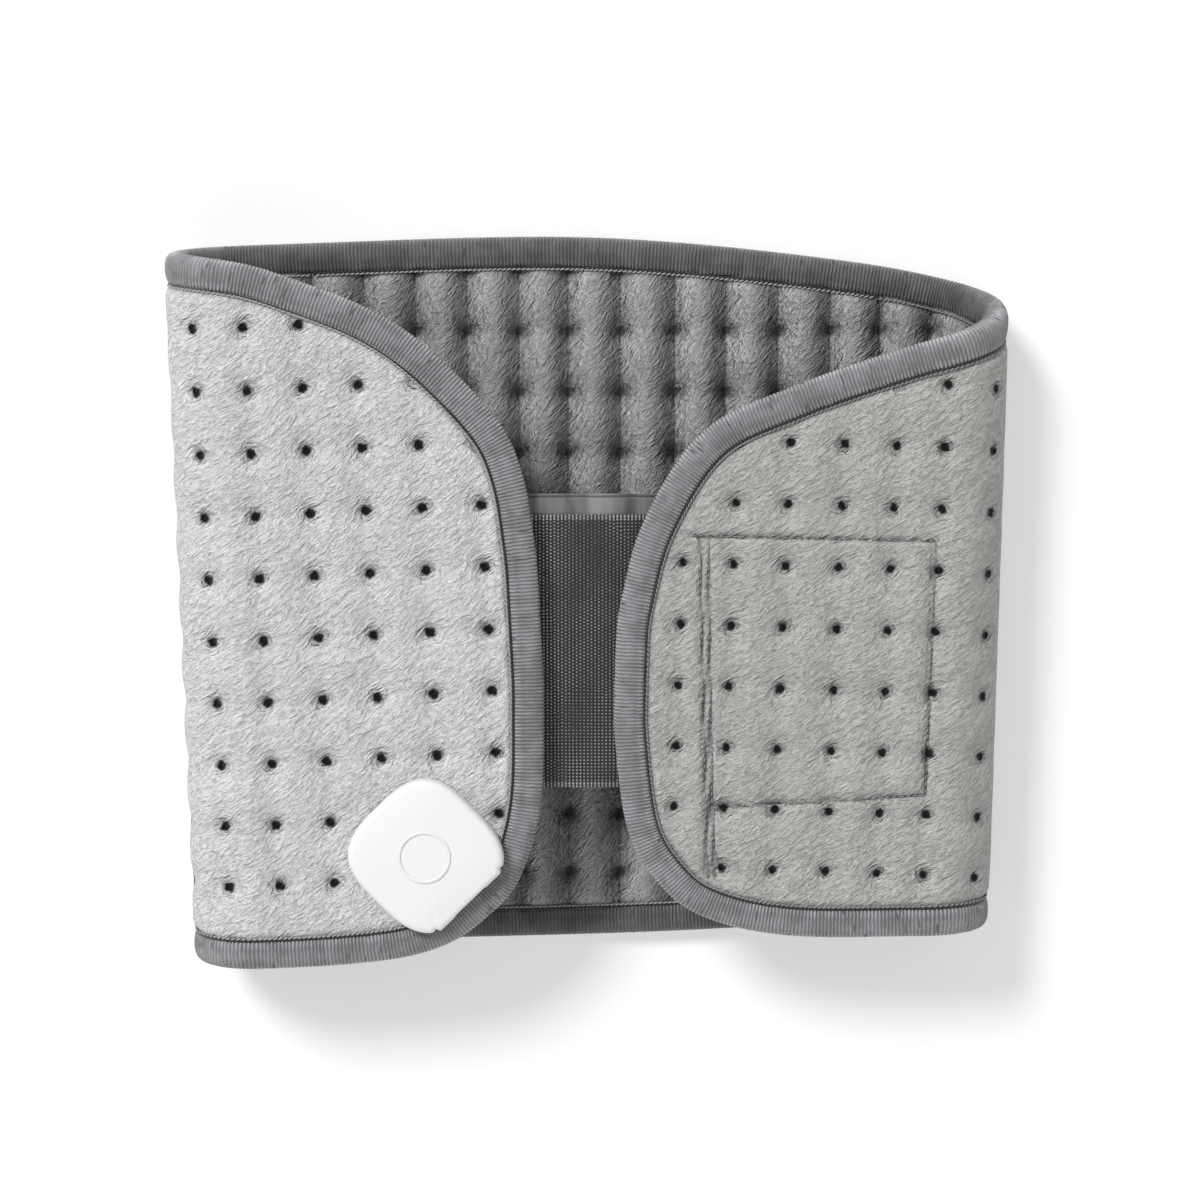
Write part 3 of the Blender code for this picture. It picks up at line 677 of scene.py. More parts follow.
def elasticFinish():
    # knitted elastic: rows of pale loops on dark ground, with a ladder selvedge at both long edges
    values = {"ground": (0.014, 0.014, 0.015), "loop": (0.52, 0.52, 0.53), "pitchAcross": 0.00155,
              "pitchAlong": 0.00142, "halfHeight": 0.058}
    material, w, shader = newFinish("elasticKnit", Roughness=0.7, Sheen_Weight=0.1)
    where = w.parts(w.attribute("tapePlace").outputs["Vector"])
    x, y = where[0], where[1]
    column = w.math("DIVIDE", x, values["pitchAcross"])
    row = w.math("DIVIDE", y, values["pitchAlong"])
    lean = w.noise(w.objectPlace(), 30.0, 1.0)
    odd = w.times(w.math("MODULO", w.math("FLOOR", column), 2.0), w.ramp(lean, 0.45, 0.55, 0.5, 0.0))
    across = w.math("SINE", w.times(column, 2 * math.pi))
    along = w.math("SINE", w.times(w.plus(row, odd), 2 * math.pi))
    loops = w.times(w.fit(across, 0.5, 0.5), w.fit(along, 0.5, 0.5))
    knots = w.ramp(loops, 0.18, 0.95, 0.0, 1.0)
    place = w.objectPlace()
    uneven = w.group(fineUneven, Place=place, Scale=700.0, Amount=0.55)
    broad = w.ramp(w.noise(w.stretch(place, (1.0, 0.3, 1.0)), 34.0, 2.0), 0.35, 0.65, 0.30, 1.05)
    fromEdge = w.less(values["halfHeight"], w.math("ABSOLUTE", y))
    selvedge = w.ramp(fromEdge, 0.0020, 0.0026, 1.0, 0.0)
    ladder = w.fit(w.math("SINE", w.times(column, 2 * math.pi)), 0.5, 0.5)
    amount = w.times(w.times(knots, broad), uneven.outputs["Shade"])
    amount = w.plus(amount, w.times(w.times(selvedge, ladder), 0.34), clamp=True)
    w.join(w.mix(amount, values["ground"], values["loop"]), shader.inputs["Base Color"])
    height = w.math("MAXIMUM", knots, w.times(selvedge, ladder))
    w.join(w.bump(height, 0.8, 0.0005), shader.inputs["Normal"])
    return material


def plainWeave(name, colour, scale=1800.0, rough=0.8, depth=0.0002, amount=0.18, sheen=0.2):
    material, w, shader = newFinish(name, Roughness=rough, Sheen_Weight=sheen)
    place = w.objectPlace()
    where = w.parts(place)
    warp = w.math("SINE", w.times(where[0], scale * 3.0))
    weft = w.math("SINE", w.times(where[1], scale * 3.0))
    weave = w.times(warp, weft)
    uneven = w.group(fineUneven, Place=place, Scale=scale * 0.35, Amount=amount)
    w.tint(shader, colour, w.fit(weave, 0.06, uneven.outputs["Shade"]))
    height = w.fit(weave, 0.4, uneven.outputs["Height"])
    w.join(w.bump(height, 0.5, depth), shader.inputs["Normal"])
    return material


def mouldedFinish(name, colour, rough, depth=0.00004, coat=0.0, metal=0.0, amount=0.03, scale=900.0, **more):
    material, w, shader = newFinish(name, Metallic=metal, Coat_Weight=coat, Coat_Roughness=0.12, **more)
    place = w.objectPlace()
    uneven = w.group(fineUneven, Place=place, Scale=scale, Amount=amount)
    w.tint(shader, colour, uneven.outputs["Shade"])
    w.join(w.fit(uneven.outputs["Height"], 0.16, rough - 0.08), shader.inputs["Roughness"])
    w.join(w.bump(uneven.outputs["Height"], 0.35, depth), shader.inputs["Normal"])
    return material


def guardFinish():
    # thin satin tape: broad soft bands of painted light and shade over the channels behind it, and a dark
    # sewn line near its top
    material, w, shader = newFinish("guardTape", Roughness=0.5, Sheen_Weight=0.15)
    where = w.parts(w.attribute("tapePlace").outputs["Vector"])
    place = w.objectPlace()
    cloudy = w.noise(w.stretch(place, (1.0, 0.25, 1.0)), 95.0, 2.0, 0.6)
    # painted light and shade: bands at the channel pitch
    paintedChannelShade = w.math("SINE", w.times(where[0], 2 * math.pi / 0.0221))
    light = w.fit(paintedChannelShade, 0.30, w.ramp(cloudy, 0.3, 0.7, 0.62, 1.35))
    top = w.math("ABSOLUTE", w.less(where[1], 0.0055))
    light = w.times(light, w.ramp(top, 0.0001, 0.0008, 0.35, 1.0))
    w.tint(shader, (0.17, 0.17, 0.172), light)
    w.join(w.bump(w.plus(cloudy, w.ramp(top, 0.0, 0.0009)), 0.6, 0.0006), shader.inputs["Normal"])
    return material


def hookFinish(name, colour, scale):
    # hook or loop pile: small pale-tipped stubs in rows
    material, w, shader = newFinish(name, Roughness=0.75, Sheen_Weight=0.25)
    place = w.objectPlace()
    cells = w.node("ShaderNodeTexVoronoi")
    w.join(place, cells.inputs["Vector"])
    cells.inputs["Scale"].default_value = scale
    cells.inputs["Randomness"].default_value = 0.45
    stub = w.ramp(cells.outputs["Distance"], 0.0, 0.55, 1.0, 0.0)
    w.tint(shader, colour, w.fit(stub, 1.6, 0.5))
    w.join(w.bump(stub, 0.9, 0.0006), shader.inputs["Normal"])
    return material


def threadFinish(name, colour, scale=2600.0):
    material, w, shader = newFinish(name, Roughness=0.55, Sheen_Weight=0.2)
    place = w.objectPlace()
    where = w.parts(place)
    spiral = w.math("SINE", w.times(w.plus(where[0], where[1]), scale * 3.0))
    w.tint(shader, colour, w.fit(spiral, 0.22, 0.95))
    w.join(w.bump(spiral, 0.6, 0.0001), shader.inputs["Normal"])
    return material


finishes = {
    # painted light and shade: the two flaps share one plush, the left painted lighter and the right painted
    # darker for how the light falls on them
    "leftPlushPaintedLight": plushFinish("leftPlushPaintedLight", (0.73, 0.73, 0.725), 0.0023),
    "rightPlushPaintedShade": plushFinish("rightPlushPaintedShade", (0.505, 0.505, 0.488), 0.0020),
    "backPlush": plushFinish("backPlush", (0.45, 0.45, 0.445), 0.0023),
    "grosgrain": ribbonFinish("grosgrain", (0.225, 0.225, 0.237), 0.46, 0.85),
    "grosgrainStrap": ribbonFinish("grosgrainStrap", (0.12, 0.12, 0.123), 1.0, 0.2),
    # painted shadow: the near-black finish of the tube in the gap beside each binding
    "paintedGapShadow": threadFinish("paintedGapShadow", (0.012, 0.012, 0.013)),
    "greyThread": threadFinish("greyThread", (0.26, 0.26, 0.265)),
    "paleThread": threadFinish("paleThread", (0.40, 0.40, 0.405)),
    "elastic": elasticFinish(),
    "guardTape": guardFinish(),
    "smoothTape": plainWeave("smoothTape", (0.13, 0.13, 0.132), 2600.0, 0.6, 0.00008, 0.12, 0.1),
    "hookTape": hookFinish("hookTape", (0.02, 0.02, 0.021), 900.0),
    "loopPatch": hookFinish("loopPatch", (0.035, 0.035, 0.036), 1300.0),
    "whiteShell": mouldedFinish("whiteShell", (0.84, 0.84, 0.84), 0.34, coat=0.15, amount=0.012),
    "greyRing": mouldedFinish("greyRing", (0.81, 0.81, 0.815), 0.34, coat=0.15),
    "greyNylon": mouldedFinish("greyNylon", (0.5, 0.5, 0.49), 0.55),
    "blackPlastic": mouldedFinish("blackPlastic", (0.02, 0.02, 0.02), 0.45),
    "plainBrass": mouldedFinish("plainBrass", (0.78, 0.6, 0.25), 0.3, metal=1.0),
    "plainSteel": mouldedFinish("plainSteel", (0.6, 0.6, 0.61), 0.32, metal=1.0),
    "ceramic": mouldedFinish("ceramic", (0.75, 0.73, 0.68), 0.5),
    "circuitBoard": mouldedFinish("circuitBoard", (0.03, 0.22, 0.09), 0.4, coat=0.3, amount=0.1),
    "heaterLead": mouldedFinish("heaterLead", (0.6, 0.1, 0.07), 0.5),
}
print("finishes ready:", len(finishes))


quilt = {
    "pillowOuter": 0.0016,     # how far the plush stands up between dots
    "pillowInner": 0.0026,
    "pillowUnder": 0.0006,     # underside, which lies on the floor
    "dotDip": 0.0026,
    "dotReach": 0.0062,
    "grooveDip": 0.0026,
    "cell": 0.0019,
    "field": (-.3505, .350, -.160, .148),   # flat box that the swelling sheet covers
    "pressure": 4.0,
    "cap": 0.010,
    "deepest": 0.0027,
    "cutoutAt": (-0.2742, -0.0446),
    "innerFlow": -0.8,         # which way the pile lies on the inner face
}
dotColumns = {
    "left": [-.3535, -.329, -.3045, -.281, -.258, -.235, -.2146, -.190, -.1668, -.1447, -.1227],
    "back": [-.1227, -.1006, -.0786, -.0566, -.0344, -.0134, .0088, .032, .0538, .0761, .0983, .1196],
    "right": [.1196, .1414, .168, .195, .2175, .237, .2585, .281, .3025, .3235, .345],
}
allColumns = np.array(sorted(set(dotColumns["left"] + dotColumns["back"] + dotColumns["right"])))


def firstRow(x):
    return np.interp(x, [-.19, -.145, .141, .2175, .35], [.1108, .1085, .1085, .1140, .1136])


def rowPitchAt(x):
    return np.interp(x, [-.15, .141, .2175], [.02615, .0262, .02583])


def dotPlace(points):
    column = np.interp(points[:, 0], allColumns, np.arange(len(allColumns)))
    row = (firstRow(points[:, 0]) - points[:, 1]) / rowPitchAt(points[:, 0])
    return column, row


def dotCentres():
    centres = []
    for x in allColumns:
        for k in range(-2, 12):
            y = firstRow(x) - k * rowPitchAt(x)
            if bottomAt(x) + 0.0105 < y < topAt(x) - 0.0105:
                centres.append((x, y))
    return np.array(centres)


centres = dotCentres()
centres = centres[edgeGap(centres) > np.where(np.abs(centres[:, 0]) < 0.175, 0.0105, 0.0128)]


def nearestDot(points):
    return leastGap(points, centres)


def swellQuilt():
    # one flat sheet pinned at its dots and rim, blown up by cloth pressure: the relief for every panel
    x0, x1, y0, y1 = quilt["field"]
    step = 0.0044
    across, along = int((x1 - x0) / step), int((y1 - y0) / step)
    sheet = startGrid("swellSheet", across, along)
    at = readPoints(sheet)
    flat = np.column_stack([x0 + (at[:, 0] + 1) / 2 * (x1 - x0), y0 + (at[:, 1] + 1) / 2 * (y1 - y0)])
    writePoints(sheet, np.column_stack([flat, np.zeros(len(flat))]))
    inside = (flat[:, 1] < topAt(flat[:, 0])) & (flat[:, 1] > bottomAt(flat[:, 0]))
    pin = sheet.vertex_groups.new(name="sewn")
    held = (~inside) | (edgeGap(flat) < 0.011) | (nearestDot(flat) < 0.0026)
    pin.add(np.nonzero(held)[0].tolist(), 1.0, "REPLACE")
    cloth = sheet.modifiers.new("swell", "CLOTH")
    settings = cloth.settings
    settings.quality = 5
    settings.mass = 0.25
    settings.tension_stiffness = 18
    settings.compression_stiffness = 18
    settings.shear_stiffness = 9
    settings.bending_stiffness = 0.6
    settings.use_pressure = True
    settings.uniform_pressure_force = quilt["pressure"]
    settings.effector_weights.gravity = 0
    settings.vertex_group_mass = "sewn"
    cloth.point_cache.frame_start = 1
    cloth.point_cache.frame_end = 20
    for number in range(1, 21):
        bpy.context.scene.frame_set(number)
    graph = bpy.context.evaluated_depsgraph_get()
    shaped = sheet.evaluated_get(graph).data
    co = np.empty(len(shaped.vertices) * 3, np.float32)
    shaped.vertices.foreach_get("co", co)
    lift = np.abs(co.reshape(-1, 3)[:, 2])
    bpy.context.scene.frame_set(1)
    bpy.data.objects.remove(sheet)
    order = np.lexsort((flat[:, 0], flat[:, 1]))
    field = np.clip(lift[order], 0, quilt["cap"]).reshape(along + 1, across + 1)
    print("quilt relief: highest", round(float(lift.max()) * 1000, 2), "mm")
    return field


reliefField = swellQuilt()
reliefTop = float(np.percentile(reliefField, 96)) or 1.0


def relief(points):
    # the swollen height at each flat point, from 0 at a dot to about 1
    x0, x1, y0, y1 = quilt["field"]
    rows, cols = reliefField.shape
    fx = np.clip((points[:, 0] - x0) / (x1 - x0) * (cols - 1), 0, cols - 1.001)
    fy = np.clip((points[:, 1] - y0) / (y1 - y0) * (rows - 1), 0, rows - 1.001)
    ix, iy = fx.astype(int), fy.astype(int)
    tx, ty = fx - ix, fy - iy
    f = reliefField
    low = f[iy, ix] * (1 - tx) + f[iy, ix + 1] * tx
    high = f[iy + 1, ix] * (1 - tx) + f[iy + 1, ix + 1] * tx
    return np.clip((low * (1 - ty) + high * ty) / reliefTop, 0, 1.15)


def ripple(points, size, seed):
    # slow unevenness from a few crossed waves
    rng = np.random.default_rng(seed)
    total = np.zeros(len(points))
    for _ in range(7):
        angle, phase = rng.uniform(0, math.pi * 2, 2)
        wave = rng.uniform(0.7, 1.6) / size
        place = points[:, 0] * math.cos(angle) + points[:, 1] * math.sin(angle)
        total += np.sin(place * wave * 6.283 + phase)
    return total / 7


def columnGap(points):
    return np.abs(points[:, 0][:, None] - allColumns[None, :]).min(1)


socketSpot = {"centre": (-0.2971, -0.1132), "reach": 0.043}
boxStitch = {"corners": [(.0448, .0263), (.1391, .0247), (.1364, -.0827), (.0470, -.0882)], "reach": 0.0020}


def segmentGap(places, a, b):
    a, b = np.array(a), np.array(b)
    t = np.clip(((places - a) @ (b - a)) / ((b - a) @ (b - a)), 0, 1)
    return np.linalg.norm(places - (a + t[:, None] * (b - a)), axis=1)


def boxLines():
    tl, tr, br, bl = boxStitch["corners"]
    foot = (bl[0] + 0.0015, -0.118)
    lead = (tl[0] - 0.0072, tl[1] + 0.0006)
    return [(lead, tr), (tr, br), (br, bl), (tl, bl), (bl, foot),
            ((tl[0] - .0034, tl[1]), (foot[0] - .0034, foot[1]))]


def sewnGap(points):
    # distance to the box stitching, which only the right flap has
    gap = np.full(len(points), 1.0)
    mine = (points[:, 0] > 0) & (foldPast(points) > 0.05)
    if mine.any():
        places = wrap(points[mine], 0.0)[:, :2] - np.array(belt["shift"][:2])
        gap[mine] = np.min([segmentGap(places, a, b) for a, b in boxLines()], axis=0)
    return gap


def quiltLevels(points, outer):
    # level of the plush from the middle layer, on the outer or the inner side
    past = foldPast(points)
    onFlap = ease((past - 0.045) / 0.03)
    gap = edgeGap(points)
    rise = relief(points)
    dot = nearestDot(points)
    dip = np.exp(-(dot / quilt["dotReach"]) ** 2)
    rim = ease((gap - 0.0112) / 0.0048)
    groove = np.exp(-(columnGap(points) / (0.0050 if outer else 0.0034)) ** 2)
    calm = 1 - 0.6 * np.exp(-((past - 0.042) / 0.026) ** 2)
    soft = ripple(points, 0.05, 3) * 0.5 + ripple(points, 0.021, 5) * 0.5
    places = wrap(points, 0.0) - np.array(belt["shift"])
    if outer:
        more = quilt["pillowOuter"] - quilt["pillowUnder"]
        puff = quilt["pillowUnder"] + more * ease((past - 0.01) / 0.05)
        level = puff * (1 - calm + calm * (0.25 + 0.75 * rise)) + soft * 0.0004 * onFlap
        level -= quilt["dotDip"] * dip * calm
        level -= 0.0011 * groove * (1 - dip) * onFlap * calm
        socketGap = np.linalg.norm(points - np.array(socketSpot["centre"]), axis=1)
        under = ease((socketSpot["reach"] - socketGap) / 0.008)
        level = level * (1 - under) + np.minimum(level, 0.0004) * under
        level -= 0.0016 * np.exp(-(sewnGap(points) / boxStitch["reach"]) ** 2) * onFlap
    else:
        free = ease((past + 0.02) / 0.02)
        clear = ease((np.abs(places[:, 1] + 0.020) - 0.066) / 0.012)
        room = (1 - free) + free * (0.45 * clear)
        level = quilt["pillowInner"] * room * (0.1 + 0.9 * rise)
        level -= quilt["grooveDip"] * groove * (0.35 + 0.65 * (1 - onFlap))
        level -= quilt["dotDip"] * 0.8 * dip
        level += soft * 0.0006 * room
    cutout = np.linalg.norm(points - np.array(quilt["cutoutAt"]), axis=1)
    level = np.maximum(level, -quilt["deepest"] + 0.0022 * ease((0.016 - cutout) / 0.006))
    flush = belt["halfThick"] + level
    tucked = belt["halfThick"] - 0.0004
    return tucked + (flush - tucked) * rim - 0.0009 * np.exp(-((gap - 0.0120) / 0.0011) ** 2)


def panelStations(low, high, cell):
    x = np.linspace(low, high, 4000)
    slope = np.sqrt(1 + np.gradient(topAt(x), x) ** 2) + np.sqrt(1 + np.gradient(bottomAt(x), x) ** 2)
    run = np.r_[0, np.cumsum((slope[1:] + slope[:-1]) / 4 * np.diff(x))]
    count = int(run[-1] / cell)
    return np.interp(np.linspace(0, run[-1], count + 1), run, x)


def makePad(name, low, high, flow, finish):
    stations = panelStations(low, high, quilt["cell"])
    across, along = len(stations) - 1, int(0.295 / quilt["cell"])
    pad = startGrid(name, across, along)
    applyModifier(pad, "SOLIDIFY", thickness=1.0, offset=0.0)
    at = readPoints(pad)
    i = np.rint((at[:, 0] + 1) / 2 * across).astype(int)
    v = (at[:, 1] + 1) / 2
    x = stations[np.clip(i, 0, across)]
    inset = 0.0006
    y = (bottomAt(x) + inset) * (1 - v) + (topAt(x) - inset) * v
    points = np.column_stack([x, y])
    upper = at[:, 2] > 0
    level = np.empty(len(points))
    level[upper] = quiltLevels(points[upper], False)
    level[~upper] = quiltLevels(points[~upper], True)
    rounding = 1 - 0.30 * np.exp(-(edgeGap(points) / 0.0012) ** 2)
    level *= rounding
    level[upper] *= -1
    writePoints(pad, wrap(points, level))
    column, row = dotPlace(points)
    turn = np.where(upper, quilt["innerFlow"], flow)
    turned = np.column_stack([points[:, 0] * np.cos(turn) - points[:, 1] * np.sin(turn),
                              points[:, 0] * np.sin(turn) + points[:, 1] * np.cos(turn),
                              np.where(upper, 0.3, 0.0)])
    pointAttribute(pad, "pilePlace", turned)
    pointAttribute(pad, "dotPlace", np.column_stack([column, row, np.zeros(len(row))]))
    pointAttribute(pad, "rimGap", edgeGap(points))
    pointAttribute(pad, "innerSide", upper.astype(float))
    pointAttribute(pad, "sewnGap", sewnGap(points))
    cellMiddle = np.column_stack([np.interp(np.rint(column), np.arange(len(allColumns)), allColumns),
                                  firstRow(points[:, 0]) - np.rint(row) * rowPitchAt(points[:, 0])])
    pointAttribute(pad, "dotOn", (nearestDot(cellMiddle) < 0.0058).astype(float))
    facesOut(pad)
    pick(pad)
    bpy.ops.object.shade_smooth()
    dress(pad, finish)
    print(name, len(pad.data.polygons), "faces")
    return pad


leftPad = makePad("leftPad", belt["top"][0][0] + 0.0005, belt["leftJoin"], 0.62, finishes["leftPlushPaintedLight"])
rightPad = makePad("rightPad", belt["rightJoin"], belt["top"][-1][0] - 0.0005, 0.60, finishes["rightPlushPaintedShade"])
backPad = makePad("backPad", belt["leftJoin"], belt["rightJoin"], 0.7, finishes["backPlush"])
layers = ("outer_cover", "wadding", "heater_fleece", "inner_cover")
for pad, side in ((leftPad, "left"), (rightPad, "right"), (backPad, "back")):
    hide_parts(*[side + "_" + layer for layer in layers])
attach(backPad, "back_panel")
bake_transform(leftPad)
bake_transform(rightPad)
print("quilted padding done")


binding = {
    "standOut": 0.0013,
    "ribPitch": 0.00154,
    "ribDepth": 0.00013,
    "serration": 0.00022,
    "stationsPerRib": 4,
    "stitchPitch": 0.0021,
    "stitchLength": 0.0024,
    "stitchThick": 0.00076,
    "threadInset": 0.0123,
    "threadLevel": 0.0044,
    "lineInset": 0.0115,
    "lineLevel": 0.0040,
    "lineInner": 0.0007,
    "lineOuter": 0.0012,
}
# half profile: distance in from the tape's outer edge, height above the middle layer
tapeProfile = np.array([(0.0, 0.0), (.00018, .0017), (.0008, .0033), (.0021, .0045), (.0040, .0051),
                        (.0062, .00525), (.0084, .00518), (.0102, .00495), (.0114, .0046), (.0120, .0041)])


def puckers(run, seed, amount):
    rng = np.random.default_rng(seed)
    total = np.zeros(len(run))
    for _ in range(22):
        middle = rng.uniform(run[0], run[-1])
        total += rng.uniform(-0.7, 1.0) * np.exp(-((run - middle) / rng.uniform(0.0012, 0.0034)) ** 2)
    return np.clip(total, -0.25, 1.1) * amount


def makeBinding(name, side, finish, pucker):
    spacing = binding["ribPitch"] / binding["stationsPerRib"]
    path, run = evenPath(outlinePart(side), spacing)
    path = eased(path, 0.012, spacing)
    inward = pathFrame(path, soften=12)[1]
    wave = np.sin(2 * math.pi * run / binding["ribPitch"])
    folds = puckers(run, len(name), pucker)
    profile = [(d, h) for d, h in tapeProfile[::-1]] + [(d, -h) for d, h in tapeProfile[1:]]
    inner = [(d, -h) for d, h in ((.0116, .0036), (.0070, .0044), (.0022, .0034), (.0012, 0.0))]
    inner += [(d, h) for d, h in ((.0022, .0034), (.0070, .0044), (.0116, .0036))]
    ring = profile + inner
    rows = np.empty((len(run), len(ring), 3))
    for k, (depth, height) in enumerate(ring):
        onFace = k < len(profile)
        tip = abs(depth - 0.012) < 1e-6 and onFace
        d = np.full(len(run), depth) - binding["standOut"]
        h = np.full(len(run), height)
        if onFace:
            raised = abs(height) + binding["ribDepth"] * wave * (0.3 if tip else 1.0)
            scale = raised / max(abs(height), 1e-6)
            h = h * scale if abs(height) > 1e-6 else h
            d = d - binding["ribDepth"] * wave * (1.0 if depth < 0.002 else 0.0)
            h = h - np.sign(height) * folds * math.sin(min(1, depth / 0.012) * math.pi) * 0.8
        if tip:
            d = d + binding["serration"] * wave + folds * 0.4
        rows[:, k] = wrap(path + inward * d[:, None], h)
    tape = sweepTube(name, rows)
    at = readPoints(tape)
    # place along and across the tape for its finish
    flatRows = rows.reshape(-1, 3)
    lookup = {tuple(np.round(p, 6)): n for n, p in enumerate(flatRows)}
    index = np.array([lookup.get(tuple(np.round(p, 6)), 0) for p in at])
    along = run[index // len(ring)]
    pointAttribute(tape, "tapePlace", np.column_stack([along, np.array(ring)[index % len(ring)]]))
    smoothPiece(tape, 60)
    dress(tape, finish)
    print(name, len(tape.data.polygons), "faces")
    return tape


def modelStitch(length, thick):
    clearSelection()
    bpy.ops.mesh.primitive_uv_sphere_add(segments=8, ring_count=5, radius=1.0, location=(0, 0, 0))
    stitch = bpy.context.active_object
    stitch.data.transform(Matrix.Diagonal((length / 2, thick / 2, thick / 2, 1)))
    return stitch


def makeEdgeThread(name, side, finish):
    # sewing stitches along the inner edge of the tape, one modelled and copied
    stitch = modelStitch(binding["stitchLength"], binding["stitchThick"])
    path, run = evenPath(outlinePart(side), 0.0009)
    path, run = evenPath(eased(path, 0.012, 0.0009), binding["stitchPitch"])
    tangent, inward = pathFrame(path, soften=2)
    line = path + inward * binding["threadInset"]
    matrices = []
    for level in (binding["threadLevel"], -binding["threadLevel"]):
        places = wrap(line, level)
        ahead = wrap(line + tangent * 0.0005, level)
        for here, there in zip(places[1:-1], ahead[1:-1]):
            turn = (Vector(there) - Vector(here)).to_track_quat("X", "Z").to_matrix().to_4x4()
            matrices.append(Matrix.Translation(Vector(here)) @ turn @ Matrix.Rotation(0.3, 4, "Z"))
    thread = copiesOf(stitch, matrices, name)
    return dress(thread, finish)


def makeGapShadowTube(name, side, inset, level, thick, finish):
    # a thin near-black tube laid in the gap between the tape and the plush: a painted shadow
    path, run = evenPath(outlinePart(side), 0.0024)
    path = eased(path, 0.012, 0.0024)
    inward = pathFrame(path, soften=2)[1]
    rows = np.empty((len(run), 6, 3))
    # painted shadow: on the left flap the tube narrows towards the top, where light reaches into the gap
    shadowHalfWidth = thick / 2 * (0.35 + 0.65 * ease((0.118 - path[:, 1]) / 0.05)) if side == "left" else thick / 2
    for k in range(6):
        angle = 2 * math.pi * k / 6
        line = path + inward * (inset + np.full(len(run), shadowHalfWidth) * math.cos(angle))[:, None]
        rows[:, k] = wrap(line, level + shadowHalfWidth * math.sin(angle))
    shadowTube = sweepTube(name, rows)
    smoothPiece(shadowTube, 60)
    return dress(shadowTube, finish)


tapes = [
    ("backTopBinding", "backTop", "grosgrain", 0.0011, "back_top_binding"),
    ("backBottomBinding", "backBottom", "grosgrain", 0.0011, "back_bottom_binding"),
    ("leftBinding", "left", "grosgrain", 0.0006, "left_binding"),
    ("rightBinding", "right", "grosgrain", 0.0006, "right_binding"),
]
for name, side, finish, pucker, node in tapes:
    tape = makeBinding(name, side, finishes[finish], pucker)
    inner = side.startswith("back")
    sign = -1 if inner else 1
    thread = "greyThread" if side == "right" else "paleThread"
    threads = makeEdgeThread(name + "Stitches", side, finishes[thread])
    # painted shadow in the gap along the binding's inner edge
    line = makeGapShadowTube(name + "Line", side, binding["lineInset"], sign * binding["lineLevel"],
                        binding["lineInner" if inner else "lineOuter"], finishes["paintedGapShadow"])
    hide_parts(node)
    for piece in (tape, threads, line):
        if side == "left":
            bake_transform(piece)
        elif side == "right":
            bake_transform(piece)
        else:
            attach(piece, "back_panel")
print("binding done")


def makeSheet(name, low, high, step, thick, heightAt, finish, corner=0.0):
    # a flat textile from its corner-to-corner box, with its lie given by heightAt
    across = max(2, int((high[0] - low[0]) / step))
    along = max(2, int((high[1] - low[1]) / step))
    piece = startGrid(name, across, along)
    applyModifier(piece, "SOLIDIFY", thickness=1.0, offset=0.0)
    at = readPoints(piece)
    x = low[0] + (at[:, 0] + 1) / 2 * (high[0] - low[0])
    y = low[1] + (at[:, 1] + 1) / 2 * (high[1] - low[1])
    if corner:
        cx = np.clip(np.abs(x - (low[0] + high[0]) / 2) - ((high[0] - low[0]) / 2 - corner), 0, corner)
        drop = corner - np.sqrt(np.maximum(corner ** 2 - cx ** 2, 0))
        middle, half = (low[1] + high[1]) / 2, (high[1] - low[1]) / 2
        y = middle + (y - middle) * (half - drop) / half
    edge = np.minimum(np.minimum(x - low[0], high[0] - x), np.minimum(y - low[1], high[1] - y))
    rounded = 0.62 + 0.38 * ease(edge / 0.0012)
    z = heightAt(x, y) + np.sign(at[:, 2]) * thick / 2 * rounded
    writePoints(piece, np.column_stack([x, y, z]))
    pointAttribute(piece, "tapePlace", np.column_stack([x, y - (low[1] + high[1]) / 2, np.zeros(len(x))]))
    facesOut(piece)
    smoothPiece(piece, 50)
    return dress(piece, finish)


strap = {
    "thick": 0.00155,
    "step": 0.0020,
    "wave": 0.00035,
    "hingeHalf": 0.007,
    "guardExtra": 0.021,       # how far the satin tape runs on under the right flap
}
elasticLow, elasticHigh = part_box("elastic_strap")
anchorLow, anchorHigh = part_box("strap_anchor")
strapMiddle = (elasticLow.z + elasticHigh.z) / 2


def strapHeight(x, y):
    sag = np.sin(x * 95 + 1.0) * np.sin(y * 31) * strap["wave"] * ease((0.012 - x) / 0.02)
    lifted = (anchorHigh.z - 0.0008 - strapMiddle) * ease((x - anchorLow.x - 0.0235) / 0.0125)
    return strapMiddle + sag - 0.0002 + lifted


elasticStrap = makeSheet("elasticStrap", (elasticLow.x, elasticLow.y), (anchorHigh.x, elasticHigh.y),
                         strap["step"], strap["thick"], strapHeight, finishes["elastic"])
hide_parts("elastic_strap", "strap_anchor")


def tapeFromNode(name, node, thickTrim, finish, corner, body):
    low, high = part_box(node)
    height = (low.z + high.z) / 2
    piece = makeSheet(name, (low.x, low.y), (high.x, high.y), 0.0022, (high.z - low.z) * thickTrim,
                      lambda x, y: np.full(len(x), height), finish, corner)
    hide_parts(node)
    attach(piece, body)
    return piece


